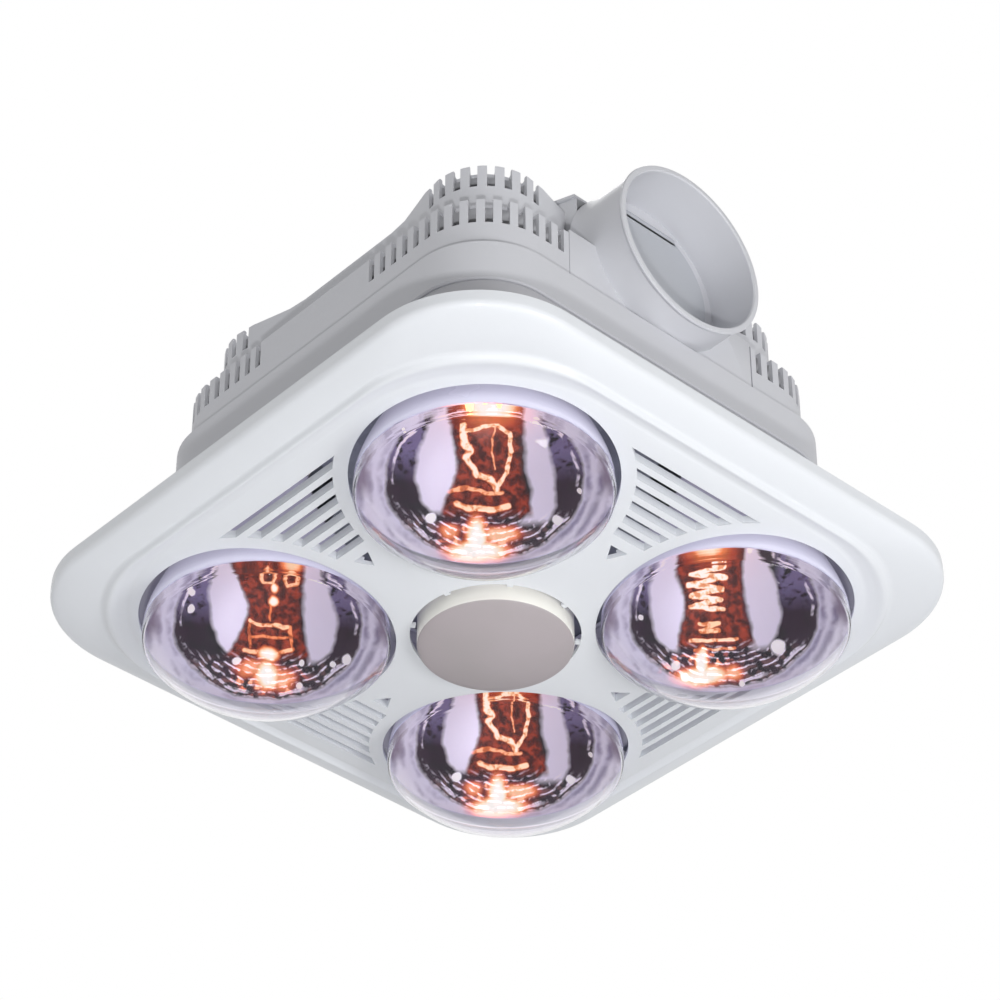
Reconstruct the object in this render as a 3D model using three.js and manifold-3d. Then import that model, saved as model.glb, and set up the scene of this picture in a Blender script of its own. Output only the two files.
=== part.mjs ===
// Bathroom ceiling heater: four infra-red reflector lamps and a centre light in a square white fascia,
// under a stepped plastic housing that holds a centrifugal exhaust fan and its duct collar.
// Millimetres, +Z up. The origin is the centre of the ceiling opening, on the face of the ceiling.
// The duct leaves towards -Y.
import * as THREE from "three";
import { mergeVertices } from "three/addons/utils/BufferGeometryUtils.js";
import Module from "manifold-3d";

const wasm = await Module();
wasm.setup();

// Shared clearances
const seatGap = 0.3; // between two pieces that rest on each other
const cutOverrun = 4; // how far a cutter passes the piece that it cuts

// Smoothness of round shapes, as counts
const fasciaArcSteps = 6;
const housingArcSteps = 5;
const lampSegments = 18;
const holderSegments = 14;
const holeSegments = 32;
const discSegments = 24;
const smallSegments = 12;
const collarSegments = 28;

// Lamps
const lampRadius = 62.5;
const lampHoleClearance = 2.5; // between a lamp and its hole in the fascia
const lampWeb = 6.98; // fascia left between a lamp's hole and the centre hole
const lampFaceRadiusShare = 1.28; // curvature of the glass face, of the lamp's radius
const lampFaceDropShare = 0.52; // how far the face hangs below the widest place, of the lamp's radius
const lampWidestDrop = 30;
const lampNeckShare = 0.264; // radius of the neck, of the lamp's radius
const neckBelowDeck = 5.3; // the glass ends this far under the deck
const glassWall = 1.2;
const capRadius = 13.2;
const capLength = 25.5;
const capThreadDepth = 1;
const capThreadCount = 2;
const capTipRadius = 4.5;
const capTipHeight = 2;
const stemRadius = 5;
const stemLength = 22;
const filamentWireRadius = 1.3;
const filamentHalfWidth = 11;
const filamentDrop = 36; // top of the filament below the end of the neck
const filamentHeight = 34;
const filamentZigzags = 6;

// Centre globe
const globeRadius = 39.4;
const globeHoleClearance = 3.6;
const globeSagitta = 6.7; // depth of the frosted face
const globeRimDrop = 37.3;
const globeSkirt = 17.3; // height of the straight side
const globeNeckTop = 44;
const globeNeckShare = 0.368;

// Fascia
const fasciaMargin = 30.7; // from a lamp hole's edge to the outline
const fasciaCornerRadius = 60;
const fasciaWall = 2.5;
const bandWidth = 24; // from the outline to the edge of the crowned panel
const bandCornerGrowth = 19; // how much larger the panel's corner radius is than the outline's
const panelEdgeDrop = 17; // the panel's edge below the ceiling
const crownDrop = 14.8; // the panel's centre below its edge
const louvreWidth = 5;
const louvreEdge = 12.5; // from the panel's edge to the centre line of the outer louvre
const louvrePitch = 8.5;
const louvreCount = 6;
const louvreMargin = 7.3; // left between a louvre's end and the lamp hole
const arrowGap = 6.5; // from the last louvre to the arrow
const arrowLength = 9;
const arrowHalfWidth = 5.5;
const nibCount = 8;
const nibGap = 1.2; // between a nib and the globe
const nibWidth = 3;
const nibThickness = 1.4;
const nibPhaseDegrees = 10;

// Fascia springs
const springThickness = 0.8;
const springWidth = 8;
const springFromLamp = 34.3; // spring's place along the side, from the lamp's axis
const springBelowShoulder = 7; // the leg ends this far below the shoulder of the frame
const springFoot = 5;
const springBend = 3.2;
const springBossHeight = 6;
const springBossWidth = 7;

// Lamp holders
const holderBorePlay = 1; // round a lamp's cap
const holderWall = 5.8;
const holderShoulderWidth = 3.5;
const holderShoulderHeight = 3;
const holderEntryGap = 2; // above the end of the lamp's glass
const holderRoof = 7.2;
const holderBoreRoof = 2;
const holderRingWidth = 5.5;
const holderRingHeight = 3;
const globeHolderWall = 3.8;

// Mounting frame, the flared metal tray that is screwed to the ceiling joists
const openingMargin = 4.2; // between the lamps and the wall of the frame
const flangeReach = 15;
const flangeThickness = 1.6;
const openingCornerRadius = 48;
const frameSheet = 1.5;
const frameStraight = 31;
const frameShoulderRise = 21;
const frameNeckRise = 8;
const frameNeckInset = 1.5;
const frameLipWidth = 8;
const frameScrewFromCorner = 10;
const screwShankRadius = 2;
const screwHeadRadius = 4;
const screwHeadHeight = 1.8;
const screwLength = 26;
const screwClearance = 0.4;

// Housing
const housingWall = 2.2;
const baseStep = 18; // the base stands this far inside the wall of the frame
const baseCornerRadius = 41.5;
const baseHeight = 24.2;
const baseFlange = 8;
const lowerTierStep = 5.5;
const lowerTierCornerRadius = 39;
const lowerTierHeight = 33.7;
const lowerFlange = 12;
const upperTierStep = 12.5;
const upperTierCornerRadius = 32;
const upperTierRise = 36.5;
const upperTierPinch = 8.5;
const lidDrop = 2.5;
const archRise = 17.5; // from the deck to the lower edge of the upper tier at its corners
const archShare = 0.5; // of the half width, where each corner's arch ends
const ventWidth = 4;
const lowerVentPitch = 8.4;
const lowerVentHeight = 16;
const lowerVentsPerHalf = 9;
const lowerVentDepth = 5;
const upperVentPitch = 8.9;
const upperVentHeight = 14.5;
const upperVentsPerHalf = 4;
const lidOpeningMargin = 3;

// Duct collar and flap
const ductRadius = 47.5;
const ductWall = 2;
const ductLipRise = 1.5;
const ductLipLength = 1.6;
const ductReach = 22.2; // from the lower tier's wall to the mouth
const ductDip = 0.5; // the neck's lowest line under the lower tier
const ductFlareRise = 2.5;
const ductFlareLength = 14;
const ductRootInset = 2; // the flare starts this far inside the upper tier's corners
const ductPanelMargin = 6;
const ductPanelRise = 2;
const ductCutClearance = 0.5;
const flapPlay = 5.5; // round the flap in the neck
const flapThickness = 1.4;
const flapSeatOverlap = 2;
const flapSeatThickness = 1.5;
const flapSeatGap = 0.4;
const flapDepth = 30.3; // from the mouth to the flap
const flapPinDrop = 8.5; // from the neck's inner wall to the pin
const flapPinRadius = 1.2;
const flapKnuckleRadius = 2.6;
const flapKnuckleGap = 0.35;
const flapLugStart = 19.5; // inner face of each lug that carries the pin
const flapLugThickness = 3.5;
const flapLugDrop = 3.6;

// Decks
const shieldThickness = 0.8;
const shieldPlay = 2.8; // inside the wall of the base
const shieldLampPlay = 19.5; // round a lamp's neck
const shieldCentreHole = 47;
const deckThickness = 1.2;
const deckPlay = 3.3; // inside the wall of the lower tier
const deckCornerStep = 4;
const deckLampPlay = 0.8; // round a lamp holder
const inletStep = 2; // the bell's mouth inside the blades
const inletBellHeight = 12;
const inletSheet = 1.2;
const inletHoleStep = 6;
const inletFlangeStep = 8;
const bridgeWidth = 16;
const bridgeThickness = 1.2;
const bridgeOverlap = 9;

// Fan
const impellerRadius = 57;
const bladeDepth = 11;
const impellerLift = 18.5; // above the deck
const impellerHeight = 49;
const impellerPlate = 1.6;
const impellerRingWidth = 7;
const bladeCount = 16;
const bladeThickness = 1.2;
const bladeLeanDegrees = 35;
const hubRadius = 9;
const hubHeight = 16;
const scrollHeadroom = 9;
const scrollWall = 1.8;
const scrollTongueGap = 9;
const scrollGrowth = 10;
const scrollOutletWidth = 84;
const scrollSteps = 26;
const coverThickness = 1.6;
const coverMargin = 3;
const shaftRadius = 3;
const shaftGap = 0.3;
const shaftTail = 5.7; // below the nut
const shaftInBearing = 0.7; // into the upper bearing
const nutRadius = 5.5;
const nutHeight = 4;

// Motor
const motorFlangeWidth = 8;
const motorPlateThickness = 1.6;
const motorCanRadius = 36;
const motorCanHeight = 21.2;
const motorSheet = 1.4;
const statorPlay = 1.6;
const statorHeight = 11;
const rotorRadius = 17;
const rotorAirGap = 0.6;
const rotorHeight = 10;
const bearingRadius = 8;
const bearingHeight = 4;

// Terminal box on the lid
const boxLength = 52;
const boxWidth = 28;
const boxHeight = 20;
const boxWall = 1.8;
const boxFromEnd = 20; // from the upper tier's +X face
const boxFromWall = 2.3; // from the upper tier's +Y wall, at the pinch
const blockLength = 32;
const blockWidth = 14;
const blockHeight = 11;
const glandRadius = 7;
const glandBoreRadius = 3.6;
const glandLength = 14;
const glandNutRadius = 9;
const glandNutLength = 4;

// Widths that follow from the sizes above: the lamps and the centre globe set them all
const lampHoleRadius = lampRadius + lampHoleClearance;
const globeHoleRadius = globeRadius + globeHoleClearance;
const lampOffset = (lampHoleRadius + globeHoleRadius + lampWeb) * Math.SQRT1_2;
const fasciaHalf = lampOffset + lampHoleRadius + fasciaMargin;
const panelHalf = fasciaHalf - bandWidth;
const panelCornerRadius = fasciaCornerRadius + bandCornerGrowth;
const louvreFirst = panelHalf - louvreEdge;
const arrowBase = louvreFirst - (louvreCount - 1) * louvrePitch - louvreWidth / 2 - arrowGap;
const nibReach = globeHoleClearance - nibGap;
const openingHalf = lampOffset + lampRadius + openingMargin;
const flangeHalf = openingHalf + flangeReach;
const frameScrewPlace = openingHalf - openingCornerRadius - frameScrewFromCorner;
const springSide = lampOffset - springFromLamp;
const baseHalf = openingHalf - baseStep;
const lowerTierHalf = baseHalf - lowerTierStep;
const upperTierHalf = lowerTierHalf - upperTierStep;
const shieldHalf = baseHalf - housingWall - shieldPlay;
const deckHalf = lowerTierHalf - housingWall - deckPlay;
const deckCornerRadius = lowerTierCornerRadius - deckCornerStep;
const upperWallInside = upperTierHalf - upperTierPinch - housingWall - cutOverrun;
const boxPlaceX = upperTierHalf - boxFromEnd - boxLength / 2;
const boxPlaceY = upperTierHalf - upperTierPinch - housingWall - boxFromWall - boxWidth / 2;

// Heights that follow
const frameShoulderTop = frameStraight + frameShoulderRise;
const frameTop = frameShoulderTop + frameNeckRise;
const springReach = frameStraight - springBelowShoulder;
const baseBottom = frameTop + seatGap;
const baseTop = baseBottom + baseHeight;
const lowerTierBottom = baseTop + seatGap;
const lowerTierTop = lowerTierBottom + lowerTierHeight;
const upperTierTop = lowerTierTop + upperTierRise;
const lidTop = upperTierTop - lidDrop;
const lidBottom = lidTop - housingWall;
const deckBottom = lowerTierBottom + housingWall + seatGap;
const deckTop = deckBottom + deckThickness;
const archLevel = deckTop + archRise;
const impellerBottom = deckTop + impellerLift;
const impellerTop = impellerBottom + impellerHeight;
const scrollTop = impellerTop + scrollHeadroom;
const coverBottom = scrollTop + seatGap;
const coverTop = coverBottom + coverThickness;
const motorPlateBottom = coverTop + seatGap;
const motorPlateTop = motorPlateBottom + motorPlateThickness;
const motorCanTop = motorPlateTop + motorCanHeight;
const shaftBottom = impellerTop - hubHeight - seatGap - nutHeight - shaftTail;
const shaftTop = motorCanTop - motorSheet - seatGap - bearingHeight + shaftInBearing;

// Lamp, holder and globe sizes that follow
const lampFaceRadius = lampRadius * lampFaceRadiusShare;
const lampApexDrop = lampWidestDrop + lampRadius * lampFaceDropShare;
const lampNeckRadius = lampRadius * lampNeckShare;
const lampNeckTop = deckBottom - neckBelowDeck;
const filamentTop = lampNeckTop - filamentDrop;
const filamentBottom = filamentTop - filamentHeight;
const globeApexDrop = globeRimDrop + globeSagitta;
const globeShoulderDrop = globeRimDrop - globeSkirt;
const globeNeckRadius = globeRadius * globeNeckShare;
const holderBoreRadius = capRadius + holderBorePlay;
const holderRadius = holderBoreRadius + holderWall;
const holderShoulderRadius = holderRadius + holderShoulderWidth;
const holderRingRadius = holderRadius + holderRingWidth;
const holderEntry = lampNeckTop + holderEntryGap;
const holderTop = lampNeckTop + seatGap + capLength + holderBoreRoof / 2 + holderRoof;
const globeHolderRadius = holderBoreRadius + globeHolderWall;
const globeHolderEntry = globeNeckTop + holderEntryGap;
const shieldLampHole = lampNeckRadius + shieldLampPlay;
const deckLampHole = holderRadius + deckLampPlay;

// Fan, motor and duct sizes that follow
const impellerInnerRadius = impellerRadius - bladeDepth;
const inletBellRadius = impellerInnerRadius - inletStep;
const inletRadius = inletBellRadius + inletHoleStep;
const inletFlangeRadius = inletRadius + inletFlangeStep;
const scrollTongueRadius = impellerRadius + scrollTongueGap;
const motorPlateRadius = motorCanRadius + motorFlangeWidth;
const statorOuterRadius = motorCanRadius - motorSheet - statorPlay;
const statorInnerRadius = rotorRadius + rotorAirGap;
const ductMouth = lowerTierHalf + ductReach;
const ductRoot = upperTierHalf - ductRootInset;
const ductLevel = lowerTierBottom + ductRadius - ductDip;
const ductLipRadius = ductRadius + ductLipRise;
const ductFlareRadius = ductRadius + ductFlareRise;
const ductPanelHalf = ductFlareRadius + ductPanelMargin;
const ductPanelTop = lowerTierTop + ductPanelRise;
const flapPlace = ductMouth - flapDepth;
const flapRadius = ductRadius - ductWall - flapPlay;
const flapSeatRadius = flapRadius - flapSeatOverlap;
const flapBack = flapPlace - flapThickness / 2;
const pinPlace = flapBack - flapKnuckleRadius;
const pinLevel = ductLevel + ductRadius - ductWall - flapPinDrop;
const pinHalf = flapLugStart + flapLugThickness - seatGap;

const housingPlastic = { color: 0xc8cacf, roughness: 0.5, metalness: 0 };
const fasciaPlastic = { color: 0xf0f1f4, roughness: 0.25, metalness: 0 };
const framePlastic = { color: 0x98989c, roughness: 0.55, metalness: 0 };
const galvanised = { color: 0xa9adb2, roughness: 0.4, metalness: 1 };
const brightSteel = { color: 0xc6c8cc, roughness: 0.3, metalness: 1 };
const springSteel = { color: 0x8c9096, roughness: 0.35, metalness: 1 };
const lampGlass = { color: 0xb9a9cf, roughness: 0.1, metalness: 0.6 };
const frostedGlass = { color: 0xb7b0b3, roughness: 0.6, metalness: 0 };
const tungsten = { color: 0xffa050, roughness: 0.5, metalness: 0.2 };
const brass = { color: 0xc9a85a, roughness: 0.35, metalness: 1 };
const ceramic = { color: 0xece6da, roughness: 0.45, metalness: 0 };
const copper = { color: 0xb5703f, roughness: 0.45, metalness: 0.8 };
const blackPlastic = { color: 0x2b2b2d, roughness: 0.5, metalness: 0 };
const whitePlastic = { color: 0xe4e4e2, roughness: 0.5, metalness: 0 };

const heater = new THREE.Group();

// Adds one named piece to the group.
function addPiece(name, geometry, finish) {
  const piece = new THREE.Mesh(geometry, new THREE.MeshStandardMaterial(finish));
  piece.name = name;
  heater.add(piece);
  return piece;
}

// A closed geometry as a solid, without the flat triangles that poles leave.
function solidOf(geometry) {
  const bare = geometry.clone();
  bare.deleteAttribute("normal");
  bare.deleteAttribute("uv");
  const merged = mergeVertices(bare);
  const corners = merged.index.array;
  const kept = [];
  for (let i = 0; i < corners.length; i += 3) {
    const [a, b, c] = [corners[i], corners[i + 1], corners[i + 2]];
    if (a !== b && b !== c && c !== a) kept.push(a, b, c);
  }
  const solid = new wasm.Manifold(
    new wasm.Mesh({
      numProp: 3,
      vertProperties: new Float32Array(merged.attributes.position.array),
      triVerts: new Uint32Array(kept),
    }),
  );
  return solid;
}

function geometryOf(solid) {
  const mesh = solid.getMesh();
  const geometry = new THREE.BufferGeometry();
  geometry.setAttribute("position", new THREE.BufferAttribute(mesh.vertProperties, 3));
  geometry.setIndex(new THREE.BufferAttribute(mesh.triVerts, 1));
  return geometry;
}

function joined(first, ...others) {
  return others.reduce((whole, next) => whole.add(next), first);
}

function cutBy(solid, cutters) {
  return cutters.reduce((rest, cutter) => rest.subtract(cutter), solid);
}

// A box between two corners.
function boxBetween(low, high) {
  const size = high.map((value, i) => value - low[i]);
  const middle = high.map((value, i) => (value + low[i]) / 2);
  return solidOf(new THREE.BoxGeometry(...size).translate(...middle));
}

// A box of a given size, centred on x and y, standing on a level and turned about Z.
function turnedBox(size, place, level, angle) {
  const box = new THREE.BoxGeometry(...size);
  box.translate(0, 0, size[2] / 2);
  box.rotateZ(angle);
  box.translate(place[0], place[1], level);
  return solidOf(box);
}

// A turned solid about a vertical axis: the profile is a list of radius and height.
function turned(profile, segments, place = [0, 0]) {
  const points = profile.map(([radius, height]) => new THREE.Vector2(radius, height));
  const lathe = new THREE.LatheGeometry(points, segments);
  lathe.rotateX(Math.PI / 2);
  lathe.translate(place[0], place[1], 0);
  const solid = solidOf(lathe);
  return solid;
}

// The same about an axis that runs along Y: each height becomes a distance towards -Y.
function turnedAlongDuct(profile, segments) {
  const points = profile.map(([radius, reach]) => new THREE.Vector2(radius, -reach));
  const lathe = new THREE.LatheGeometry(points.reverse(), segments);
  lathe.translate(0, 0, ductLevel);
  return solidOf(lathe);
}

function cylinder(radius, bottom, top, segments, place = [0, 0]) {
  return turned([[0, bottom], [radius, bottom], [radius, top], [0, top]], segments, place);
}

function ring(inner, outer, bottom, top, segments, place = [0, 0]) {
  const profile = [[inner, bottom], [outer, bottom], [outer, top], [inner, top], [inner, bottom]];
  return turned(profile, segments, place);
}

// A straight prism on a plan outline.
function prism(outline, bottom, top) {
  const shape = new THREE.Shape(outline);
  const body = new THREE.ExtrudeGeometry(shape, { depth: top - bottom, bevelEnabled: false });
  body.translate(0, 0, bottom);
  return solidOf(body);
}

// Round bar along a list of points.
function bar(points, radius, sides, steps) {
  const section = new THREE.Shape();
  for (let i = 0; i < sides; i++) {
    const angle = (2 * Math.PI * i) / sides;
    const [x, y] = [radius * Math.cos(angle), radius * Math.sin(angle)];
    if (i === 0) section.moveTo(x, y);
    else section.lineTo(x, y);
  }
  const route = new THREE.CatmullRomCurve3(points, false, "centripetal");
  const options = { steps, extrudePath: route, bevelEnabled: false };
  return solidOf(new THREE.ExtrudeGeometry(section, options));
}

// Extra places along one straight side, as shares from the end of one corner to the start of the next.
const crownedSideShares = [-0.5, 0, 0.5];
const pinchedSideShares = [-0.75, -0.45, 0.45, 0.75];

// How much of the pinch a place on the side takes: all of it in the middle, none at the corners.
function pinchShare(share) {
  const start = 0.45;
  const along = Math.min(1, Math.max(0, (Math.abs(share) - start) / (1 - start)));
  return 1 - along * along * (3 - 2 * along);
}

// A square outline with round corners, whose sides may be pinched in towards their middle.
function squareOutline(half, cornerRadius, pinch = 0, sideShares = [], arcSteps = housingArcSteps) {
  const radius = Math.max(cornerRadius, 0.001 * half);
  const centre = half - radius;
  const quarter = [];
  for (let i = 0; i <= arcSteps; i++) {
    const angle = (Math.PI / 2) * (i / arcSteps);
    quarter.push(new THREE.Vector2(centre + radius * Math.cos(angle), centre + radius * Math.sin(angle)));
  }
  for (const share of sideShares) {
    quarter.push(new THREE.Vector2(-centre * share, half - pinch * pinchShare(share)));
  }
  const origin = new THREE.Vector2();
  const outline = [];
  for (let side = 0; side < 4; side++) {
    for (const point of quarter) outline.push(point.clone().rotateAround(origin, (side * Math.PI) / 2));
  }
  return outline;
}

function ringAt(outline, level) {
  return outline.map(({ x, y }) => new THREE.Vector3(x, y, level));
}

// Skin over a list of rings of equal count. It closes on itself, or ends in a fan at each end.
function skinned(rings, closesOnItself) {
  const count = rings[0].length;
  const places = rings.flat().flatMap(({ x, y, z }) => [x, y, z]);
  const faces = [];
  const spans = closesOnItself ? rings.length : rings.length - 1;
  for (let r = 0; r < spans; r++) {
    const low = r * count;
    const high = ((r + 1) % rings.length) * count;
    for (let i = 0; i < count; i++) {
      const j = (i + 1) % count;
      faces.push(low + i, low + j, high + j, low + i, high + j, high + i);
    }
  }
  if (!closesOnItself) {
    const ends = [rings[0], rings[rings.length - 1]];
    ends.forEach((end, which) => {
      const middle = end.reduce((sum, point) => sum.add(point), new THREE.Vector3()).divideScalar(count);
      const pole = places.length / 3;
      places.push(middle.x, middle.y, middle.z);
      const first = which === 0 ? 0 : (rings.length - 1) * count;
      for (let i = 0; i < count; i++) {
        const j = (i + 1) % count;
        if (which === 0) faces.push(pole, first + j, first + i);
        else faces.push(pole, first + i, first + j);
      }
    });
  }
  const geometry = new THREE.BufferGeometry();
  geometry.setAttribute("position", new THREE.Float32BufferAttribute(places, 3));
  geometry.setIndex(faces);
  let solid = solidOf(geometry);
  if (solid.volume() < 0) {
    for (let i = 0; i < faces.length; i += 3) [faces[i], faces[i + 1]] = [faces[i + 1], faces[i]];
    geometry.setIndex(faces);
    solid = solidOf(geometry);
  }
  return solid;
}

// A square shell: the profile lists half width, corner radius, pinch and level all the way round.
function squareShell(profile, sideShares = []) {
  const rings = profile.map(([half, radius, pinch, level]) =>
    ringAt(squareOutline(half, radius, pinch, sideShares), level),
  );
  return skinned(rings, true);
}

// Place and outward angle on a square outline, measured from the middle of the corner at +X +Y.
function placeFromCorner(half, cornerRadius, distance) {
  const centre = half - cornerRadius;
  const halfArc = (cornerRadius * Math.PI) / 4;
  if (Math.abs(distance) <= halfArc) {
    const angle = Math.PI / 4 + distance / cornerRadius;
    return { x: centre + cornerRadius * Math.cos(angle), y: centre + cornerRadius * Math.sin(angle), angle };
  }
  const beyond = centre - (Math.abs(distance) - halfArc);
  if (distance > 0) return { x: beyond, y: half, angle: Math.PI / 2 };
  return { x: half, y: beyond, angle: 0 };
}

// The vent cutters of one tier: a row of slots round each corner, open at the top.
function ventCutters(half, cornerRadius, pitch, level, height, depth, slotsOnSide) {
  const cutters = [];
  for (let corner = 0; corner < 4; corner++) {
    for (const direction of [-1, 1]) {
      for (let k = 0; k < slotsOnSide(corner, direction); k++) {
        const { x, y, angle } = placeFromCorner(half, cornerRadius, direction * (k + 0.5) * pitch);
        const turn = (corner * Math.PI) / 2;
        const inward = (cutOverrun - depth) / 2;
        const place = new THREE.Vector2(x + inward * Math.cos(angle), y + inward * Math.sin(angle));
        place.rotateAround(new THREE.Vector2(), turn);
        const size = [depth + cutOverrun, ventWidth, height + cutOverrun];
        cutters.push(turnedBox(size, [place.x, place.y], level, angle + turn));
      }
    }
  }
  return cutters;
}

const lampPlaces = [
  [-lampOffset, -lampOffset],
  [lampOffset, -lampOffset],
  [lampOffset, lampOffset],
  [-lampOffset, lampOffset],
];

// Level of the visible face of the crowned panel.
function panelLevel(x, y) {
  const across = 1 - (x / panelHalf) ** 2;
  const along = 1 - (y / panelHalf) ** 2;
  return -panelEdgeDrop - crownDrop * Math.max(0, across) * Math.max(0, along);
}

// Fascia band, front face: inset share, drop share and corner growth share. The band's inner edge keeps
// a larger corner than its outline, so that the corner stays concentric with the lamp hole.
const bandFrontShares = [
  [0, 0, 0],
  [0, 0.35, 0],
  [0.04, 0.49, 0],
  [0.12, 0.56, 0.05],
  [0.4, 0.72, 0.3],
  [0.55, 0.79, 0.6],
  [0.62, 0.84, 0.72],
  [0.67, 0.99, 0.86],
  [0.71, 1, 0.93],
  [0.76, 0.95, 1],
  [1, 1, 1],
];
// The same for the back face, whose insets and drops are measured from the wall's inner side.
const bandBackShares = [
  [0, 0, 0],
  [0, 0.4, 0],
  [0.12, 0.56, 0.05],
  [0.62, 0.84, 0.72],
  [1, 1, 1],
];
const panelFrontShares = [0.76, 0.5, 0.25];
const panelBackShares = [0.7, 0.35];

function fasciaOutline(inset, growthShare) {
  const radius = fasciaCornerRadius + growthShare * bandCornerGrowth;
  return squareOutline(fasciaHalf - inset, radius, 0, crownedSideShares, fasciaArcSteps);
}

function crownedRing(share, lift) {
  const radius = share * panelCornerRadius;
  const outline = squareOutline(share * panelHalf, radius, 0, crownedSideShares, fasciaArcSteps);
  return outline.map(({ x, y }) => new THREE.Vector3(x, y, panelLevel(x, y) + lift));
}

function fasciaSkin() {
  const front = bandFrontShares.map(([inShare, downShare, growthShare]) =>
    ringAt(fasciaOutline(inShare * bandWidth, growthShare), -downShare * panelEdgeDrop),
  );
  const back = bandBackShares.map(([inShare, downShare, growthShare]) => {
    const inset = fasciaWall + inShare * (bandWidth - fasciaWall);
    return ringAt(fasciaOutline(inset, growthShare), downShare * (fasciaWall - panelEdgeDrop));
  });
  for (const share of panelFrontShares) front.push(crownedRing(share, 0));
  for (const share of panelBackShares) back.push(crownedRing(share, fasciaWall));
  return skinned([...front.reverse(), ...back], false);
}

// One louvre: a strip across X whose ends follow the lamp holes on both sides.
function louvreOutline(centreLine) {
  const keepOut = lampHoleRadius + louvreMargin;
  const halfLengthAt = (place) => lampOffset - Math.sqrt(keepOut ** 2 - (place - lampOffset) ** 2);
  const [inner, outer] = [centreLine - louvreWidth / 2, centreLine + louvreWidth / 2];
  return [
    new THREE.Vector2(-halfLengthAt(inner), inner),
    new THREE.Vector2(halfLengthAt(inner), inner),
    new THREE.Vector2(halfLengthAt(outer), outer),
    new THREE.Vector2(-halfLengthAt(outer), outer),
  ];
}

function louvreCutters() {
  const [low, high] = [-panelEdgeDrop - crownDrop - cutOverrun, cutOverrun - panelEdgeDrop];
  const outlines = [];
  for (let i = 0; i < louvreCount; i++) outlines.push(louvreOutline(louvreFirst - i * louvrePitch));
  outlines.push([
    new THREE.Vector2(0, arrowBase - arrowLength),
    new THREE.Vector2(arrowHalfWidth, arrowBase),
    new THREE.Vector2(-arrowHalfWidth, arrowBase),
  ]);
  const cutters = [];
  for (let side = 0; side < 4; side++) {
    for (const outline of outlines) {
      const turned90 = outline.map((p) => p.clone().rotateAround(new THREE.Vector2(), (side * Math.PI) / 2));
      cutters.push(prism(turned90, low, high));
    }
  }
  return cutters;
}

// Places of the four springs and their bosses, on the two sides that face -X and +X.
const springPlaces = [
  [-1, -springSide],
  [-1, springSide],
  [1, -springSide],
  [1, springSide],
];
const springLegOuter = openingHalf - frameSheet - seatGap;
const springLegPlane = springLegOuter - springBend;
const springBossCentre = springLegPlane - springThickness - springFoot / 2;

function fasciaSolid() {
  let solid = fasciaSkin();
  const [low, high] = [-panelEdgeDrop - crownDrop - cutOverrun, 0];
  const nibs = [];
  for (let i = 0; i < nibCount; i++) {
    const angle = (nibPhaseDegrees * Math.PI) / 180 + (2 * Math.PI * i) / nibCount;
    const reach = nibReach + fasciaWall;
    const middle = globeHoleRadius - nibReach + reach / 2;
    const place = [middle * Math.cos(angle), middle * Math.sin(angle)];
    const level = panelLevel(0, 0) + (fasciaWall - nibThickness) / 2 + nibThickness / 2;
    nibs.push(turnedBox([reach, nibWidth, nibThickness], place, level, angle));
  }
  const cutters = lampPlaces.map((place) => cylinder(lampHoleRadius, low, high, holeSegments, place));
  cutters.push(cylinder(globeHoleRadius, low, high, holeSegments), ...louvreCutters());
  solid = cutBy(solid, cutters);
  const bosses = springPlaces.map(([side, y]) => {
    const x = side * springBossCentre;
    const bottom = panelLevel(x, y) + fasciaWall / 2;
    const size = [springFoot, springBossWidth, springBossHeight];
    return turnedBox(size, [x, y], bottom, 0);
  });
  return joined(solid, ...nibs, ...bosses);
}

addPiece("fascia", geometryOf(fasciaSolid()), fasciaPlastic);

// A fascia spring: a foot on its boss, a leg up inside the frame, and a bend that grips it.
function springSolid(side, y) {
  const bottom = panelLevel(side * springBossCentre, y) + fasciaWall / 2 + springBossHeight + seatGap;
  const [legIn, legOut] = [springLegPlane - springThickness, springLegPlane];
  const bendLevel = springReach / 2;
  const outline = [
    [legIn - springFoot, bottom],
    [legOut, bottom],
    [legOut, 0],
    [legOut + springBend, bendLevel],
    [legOut, springReach],
    [legIn, springReach],
    [legIn + springBend, bendLevel],
    [legIn, 0],
    [legIn, bottom + springThickness],
    [legIn - springFoot, bottom + springThickness],
  ].map(([x, z]) => new THREE.Vector2(x, z));
  const options = { depth: springWidth, bevelEnabled: false };
  const strip = new THREE.ExtrudeGeometry(new THREE.Shape(outline), options);
  strip.translate(0, 0, -springWidth / 2);
  strip.rotateX(Math.PI / 2);
  if (side < 0) strip.rotateZ(Math.PI);
  strip.translate(0, y, 0);
  return solidOf(strip);
}

springPlaces.forEach(([side, y], i) => {
  addPiece(`fascia_spring_${i + 1}`, geometryOf(springSolid(side, y)), springSteel);
});

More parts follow.
